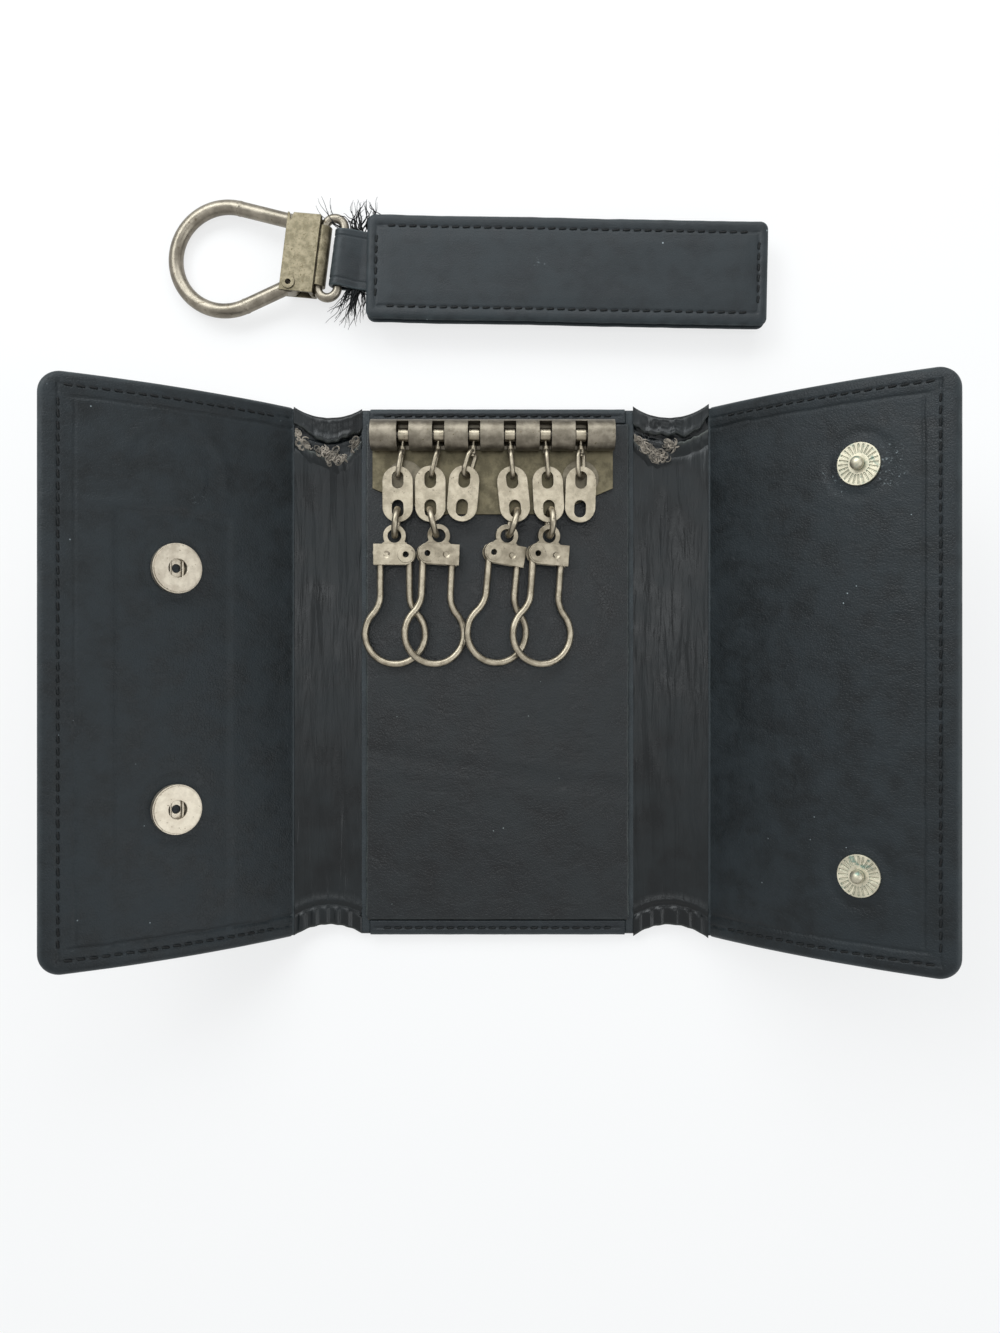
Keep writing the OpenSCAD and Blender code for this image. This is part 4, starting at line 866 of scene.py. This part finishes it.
def tornHem(side):
    wide = case["gussetWide"][side]
    half = case["half"]
    gusset = onGusset(side)

    def place(x, y, h):
        low = half - hemDepth(side, x)
        return gusset(x, low + (half + 0.25 - low) * y, h)

    def top(x, y, depth):
        lip = np.exp(-((y - 0.12) / 0.16) ** 2)
        h = (0.34 + torn["lip"] * lip * (0.7 + 0.6 * wobbles(x / 1.8, y * 0, 5))
             + 0.2 * wobbles(x / 1.1, y * 1.6, 8 + side))
        h += 0.3 * bumpAt(y, 0.75, 0.3) * (0.5 + wobbles(x / 2.2, y * 0, 17))
        h = np.minimum(h, 0.12) + np.maximum(h - 0.12, 0) * tuckedIn(side, x)
        return h - 0.5 * rolled((1 - y) * 3.5, 0.6) - 0.35 * rolled(y * 3.5, 0.3)

    def bottom(x, y, depth):
        thick = torn["thick"] * (0.55 + 0.45 * np.minimum(y, 1 - y) * 2)
        return top(x, y, depth) - thick - 0.25 * smoothStep(y, 0.3, 0.7)

    obj = leatherSheet(sideName[side] + "TornHem", gridLines(0.1, wide - 0.1, 0.3), np.linspace(0, 1, 15), {},
                       place, top, bottom, gussetLeather,
                       # the hem's lower lip painted paler: a painted highlight on the curl, with some wear
                       {"rubbedAndHighlight": lambda x, y, d: 0.7 * np.exp(-(y / 0.09) ** 2) * (0.5 + wobbles(x / 0.8, y * 0, 6))})
    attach(obj, sideName[side] + "_gusset")


curls = {
    # x across the gusset and depth under its top end, the spread, the curl's size, how many
    -1: [(13.2, 5.0, 0.9, 0.5, 26), (11.6, 6.4, 1.0, 0.55, 30), (8.0, 7.0, 1.1, 0.55, 28), (6.0, 8.0, 1.1, 0.6, 40),
         (4.4, 8.8, 0.8, 0.55, 26), (1.6, 6.2, 1.1, 0.55, 22)],
    1: [(1.0, 6.0, 0.8, 0.6, 22), (2.6, 6.8, 1.1, 0.65, 36), (4.2, 8.0, 1.2, 0.65, 44), (5.6, 7.8, 1.0, 0.55, 26),
        (7.4, 5.7, 0.9, 0.6, 34)]}


def curlsAt(side, seed):
    rng = np.random.default_rng(seed)
    gusset, paths, thick = onGusset(side), [], []
    for cx, depth, spread, size, many in curls[side]:
        for _ in range(many):
            x0 = cx + rng.normal(0, 0.5) * spread
            y0 = case["half"] - depth + rng.normal(0, 0.45) * spread
            start, turn = rng.uniform(0, 6.28), rng.uniform(2.5, 6.5) * rng.choice([-1, 1])
            r = size * rng.uniform(0.5, 1.3)
            s = np.linspace(0, 1, 14)
            a = start + turn * s
            x = x0 + r * np.cos(a) * (1 - 0.3 * s) + rng.normal(0, 0.3) * s
            y = y0 + r * np.sin(a) * (1 - 0.3 * s) + rng.normal(0, 0.4) * s
            h = 0.12 + rng.uniform(0.0, 0.7) + 0.35 * np.sin(a * rng.uniform(0.6, 1.4) + rng.uniform(0, 6))
            h = -0.1 + np.maximum(h + 0.1, 0.1) * tuckedIn(side, x0)
            paths.append(gusset(np.clip(x, 0.5, case["gussetWide"][side] - 0.5), y, h))
            thick.append(rng.uniform(0.08, 0.2))
    return paths, thick


def tornLip(side):  # the lining's torn edge, curled up in a ragged line below the hem
    wide = case["gussetWide"][side]
    gusset = onGusset(side)
    fall = {-1: [(0, 6.0), (3.0, 8.6), (6.0, 8.9), (9.0, 7.4), (11.5, 6.8), (13.7, 4.6)],
            1: [(0, 6.2), (2.5, 7.6), (5.0, 8.4), (6.8, 7.0), (8.2, 5.2), (15.2, 4.6)]}[side]
    fall = np.array(fall)

    def edge(x):
        return case["half"] - np.interp(x, fall[:, 0], fall[:, 1]) - 0.5 * wobbles(x / 0.9, x * 0, 41 + side)

    def place(x, y, h):
        return gusset(x, edge(x) - 3.6 * (1 - y), h)

    def top(x, y, depth):
        curled = 0.75 * y ** 3 * (0.7 + 0.5 * wobbles(x / 1.4, y * 0, 3)) + 0.12 * y * wobbles(x / 0.9, y * 2, 9)
        return 0.04 + curled * tuckedIn(side, x) - 0.5 * (1 - smoothStep(y, 0, 0.7))
    obj = leatherSheet(sideName[side] + "TornLip", gridLines(0.2, wide - 0.2, 0.3), np.linspace(0, 1, 10), {},
                       place, top, lambda x, y, d: top(x, y, d) - 0.3, gussetLeather,
                       # the curled torn edge painted paler: a painted highlight on the curl, with some wear
                       {"rubbedAndHighlight": lambda x, y, d: smoothStep(y, 0.75, 1.0) * (0.7 + 0.6 * wobbles(x / 0.6, y, 3))})
    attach(obj, sideName[side] + "_gusset")


for side in (-1, 1):
    tornHem(side)
    tornLip(side)
    paths, thick = curlsAt(side, 40 + side)
    obj = tubes(sideName[side] + "Interlining", paths, thick, frayMat, 5)
    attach(obj, sideName[side] + "_gusset")

# Black thread ends worked loose beside the fob's neck: tufts that part into fine tips
tufts = [  # where the tuft starts, where it ends, how many strands, how far it bends
    ((-28.4, 87.2), (-34.9, 93.9), 6, 1.7), ((-28.4, 87.3), (-32.6, 89.9), 4, -1.1),
    ((-27.9, 87.3), (-28.1, 93.0), 8, 0.5), ((-27.1, 87.4), (-26.9, 93.4), 8, 0.4),
    ((-26.4, 87.6), (-25.2, 92.8), 7, -0.4), ((-22.9, 89.9), (-25.4, 92.3), 4, 0.3),
    ((-28.9, 76.6), (-32.2, 70.5), 12, 0.5), ((-28.3, 76.6), (-30.2, 69.8), 14, 0.4),
    ((-27.6, 76.4), (-28.6, 69.9), 14, -0.3), ((-26.8, 76.2), (-26.0, 69.4), 9, 0.4)]
rng = np.random.default_rng(12)
paths, thick = [], []
for start, end, many, bend in tufts:
    for i in range(many):
        s = np.linspace(0, 1, 12)
        a = np.array(start) + rng.normal(0, 0.35, 2)
        b = np.array(end) + rng.normal(0, 0.75, 2)
        b = a + (b - a) * rng.uniform(0.7, 1.1)
        aside = np.array([a[1] - b[1], b[0] - a[0]]) / np.hypot(*(b - a))
        sway = bend * np.sin(s * math.pi) + rng.normal(0, 0.5) * s ** 2 + 0.25 * np.sin(s * rng.uniform(5, 11) + i)
        xy = a + s[:, None] * (b - a) + sway[:, None] * aside
        z = 4.3 + rng.uniform(-0.5, 0.6) + s * rng.uniform(-0.8, 1.2)
        paths.append(np.column_stack([xy, z]))
        thick.append((rng.uniform(0.1, 0.19), 0.03))
obj = tubes("strapLooseThreads", paths, thick, threadMat, 5)
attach(obj, "fob_strap")

print("key case: floor, light and camera")
stage = {"floorHalf": 1.2, "floorDrop": 0.0002, "floorColour": "#f4f3f1", "hide": 0.72,
         "skyColour": "#c4ccd3", "sky": 0.6, "lampColour": (0.93, 0.975, 1.0), "aim": (0, 0.01, 0)}
floorMesh = bpy.data.meshes.new("floor")
f, low = stage["floorHalf"], -stage["floorDrop"]
floorMesh.from_pydata([(-f, -f, low), (f, -f, low), (f, f, low), (-f, f, low)], [], [(0, 1, 2, 3)])
floor = addObject("floor", floorMesh)
# Paper floor: plain for the light it gives back, near white to the eye and in reflections
paper = bpy.data.materials.new("paper sweep, matt")
paper.use_nodes = True
tree = paper.node_tree
tree.nodes.clear()
matt = addNode(tree, "BsdfDiffuse", {"Color": linearColour(stage["floorColour"])})
glow = addNode(tree, "Emission", {"Color": (1, 1, 1, 1), "Strength": 1.0})
much = mathOf(tree, "MULTIPLY", seenDirectly(tree), stage["hide"])
both = addNode(tree, "MixShader", {0: much, 1: matt.outputs[0], 2: glow.outputs[0]})
addNode(tree, "OutputMaterial", {"Surface": both.outputs[0]})
floorMesh.materials.append(paper)

world = bpy.data.worlds.new("studio")
bpy.context.scene.world = world
world.use_nodes = True
tree = world.node_tree
tree.nodes.clear()
around = addNode(tree, "Background", {"Color": linearColour(stage["skyColour"]), "Strength": stage["sky"]})
white = addNode(tree, "Background", {"Color": (1, 1, 1, 1), "Strength": 1.0})
both = addNode(tree, "MixShader", {0: seenDirectly(tree), 1: around.outputs[0], 2: white.outputs[0]})
addNode(tree, "OutputWorld", {"Surface": both.outputs[0]})

lamps = {"windowLeft": {"at": (-0.42, 0.36, 0.52), "size": (0.42, 0.3), "watts": 1.9},
         "bounceRight": {"at": (0.5, -0.15, 0.42), "size": (0.3, 0.4), "watts": 0.9},
         "windowTop": {"at": (-0.05, 0.36, 0.28), "size": (0.5, 0.2), "watts": 1.3},
         "ceiling": {"at": (0.0, 0.05, 0.6), "size": (0.26, 0.12), "watts": 0.34}}
for lampName, l in lamps.items():
    data = bpy.data.lights.new(lampName, "AREA")
    data.shape = "RECTANGLE"
    data.size, data.size_y = l["size"]
    data.energy = l["watts"]
    data.color = stage["lampColour"]
    lamp = addObject(lampName, data)
    lamp.location = l["at"]
    lamp.rotation_euler = (Vector(stage["aim"]) - Vector(l["at"])).to_track_quat("-Z", "Y").to_euler()

view = {"at": (0.5, 1.1, 212.4), "focal": 1050, "tall": 1333, "film": 36.0}  # pixels of focal length, millimetres
camData = bpy.data.cameras.new("camera")
camData.sensor_fit = "VERTICAL"
camData.sensor_height = view["film"]
camData.lens = view["focal"] * view["film"] / view["tall"]
camData.clip_start = 0.005
camera = addObject("camera", camData)
camera.location = Vector(view["at"]) * mm
bpy.context.scene.camera = camera
bpy.context.scene.view_settings.view_transform = "Standard"

print("key case: finished")
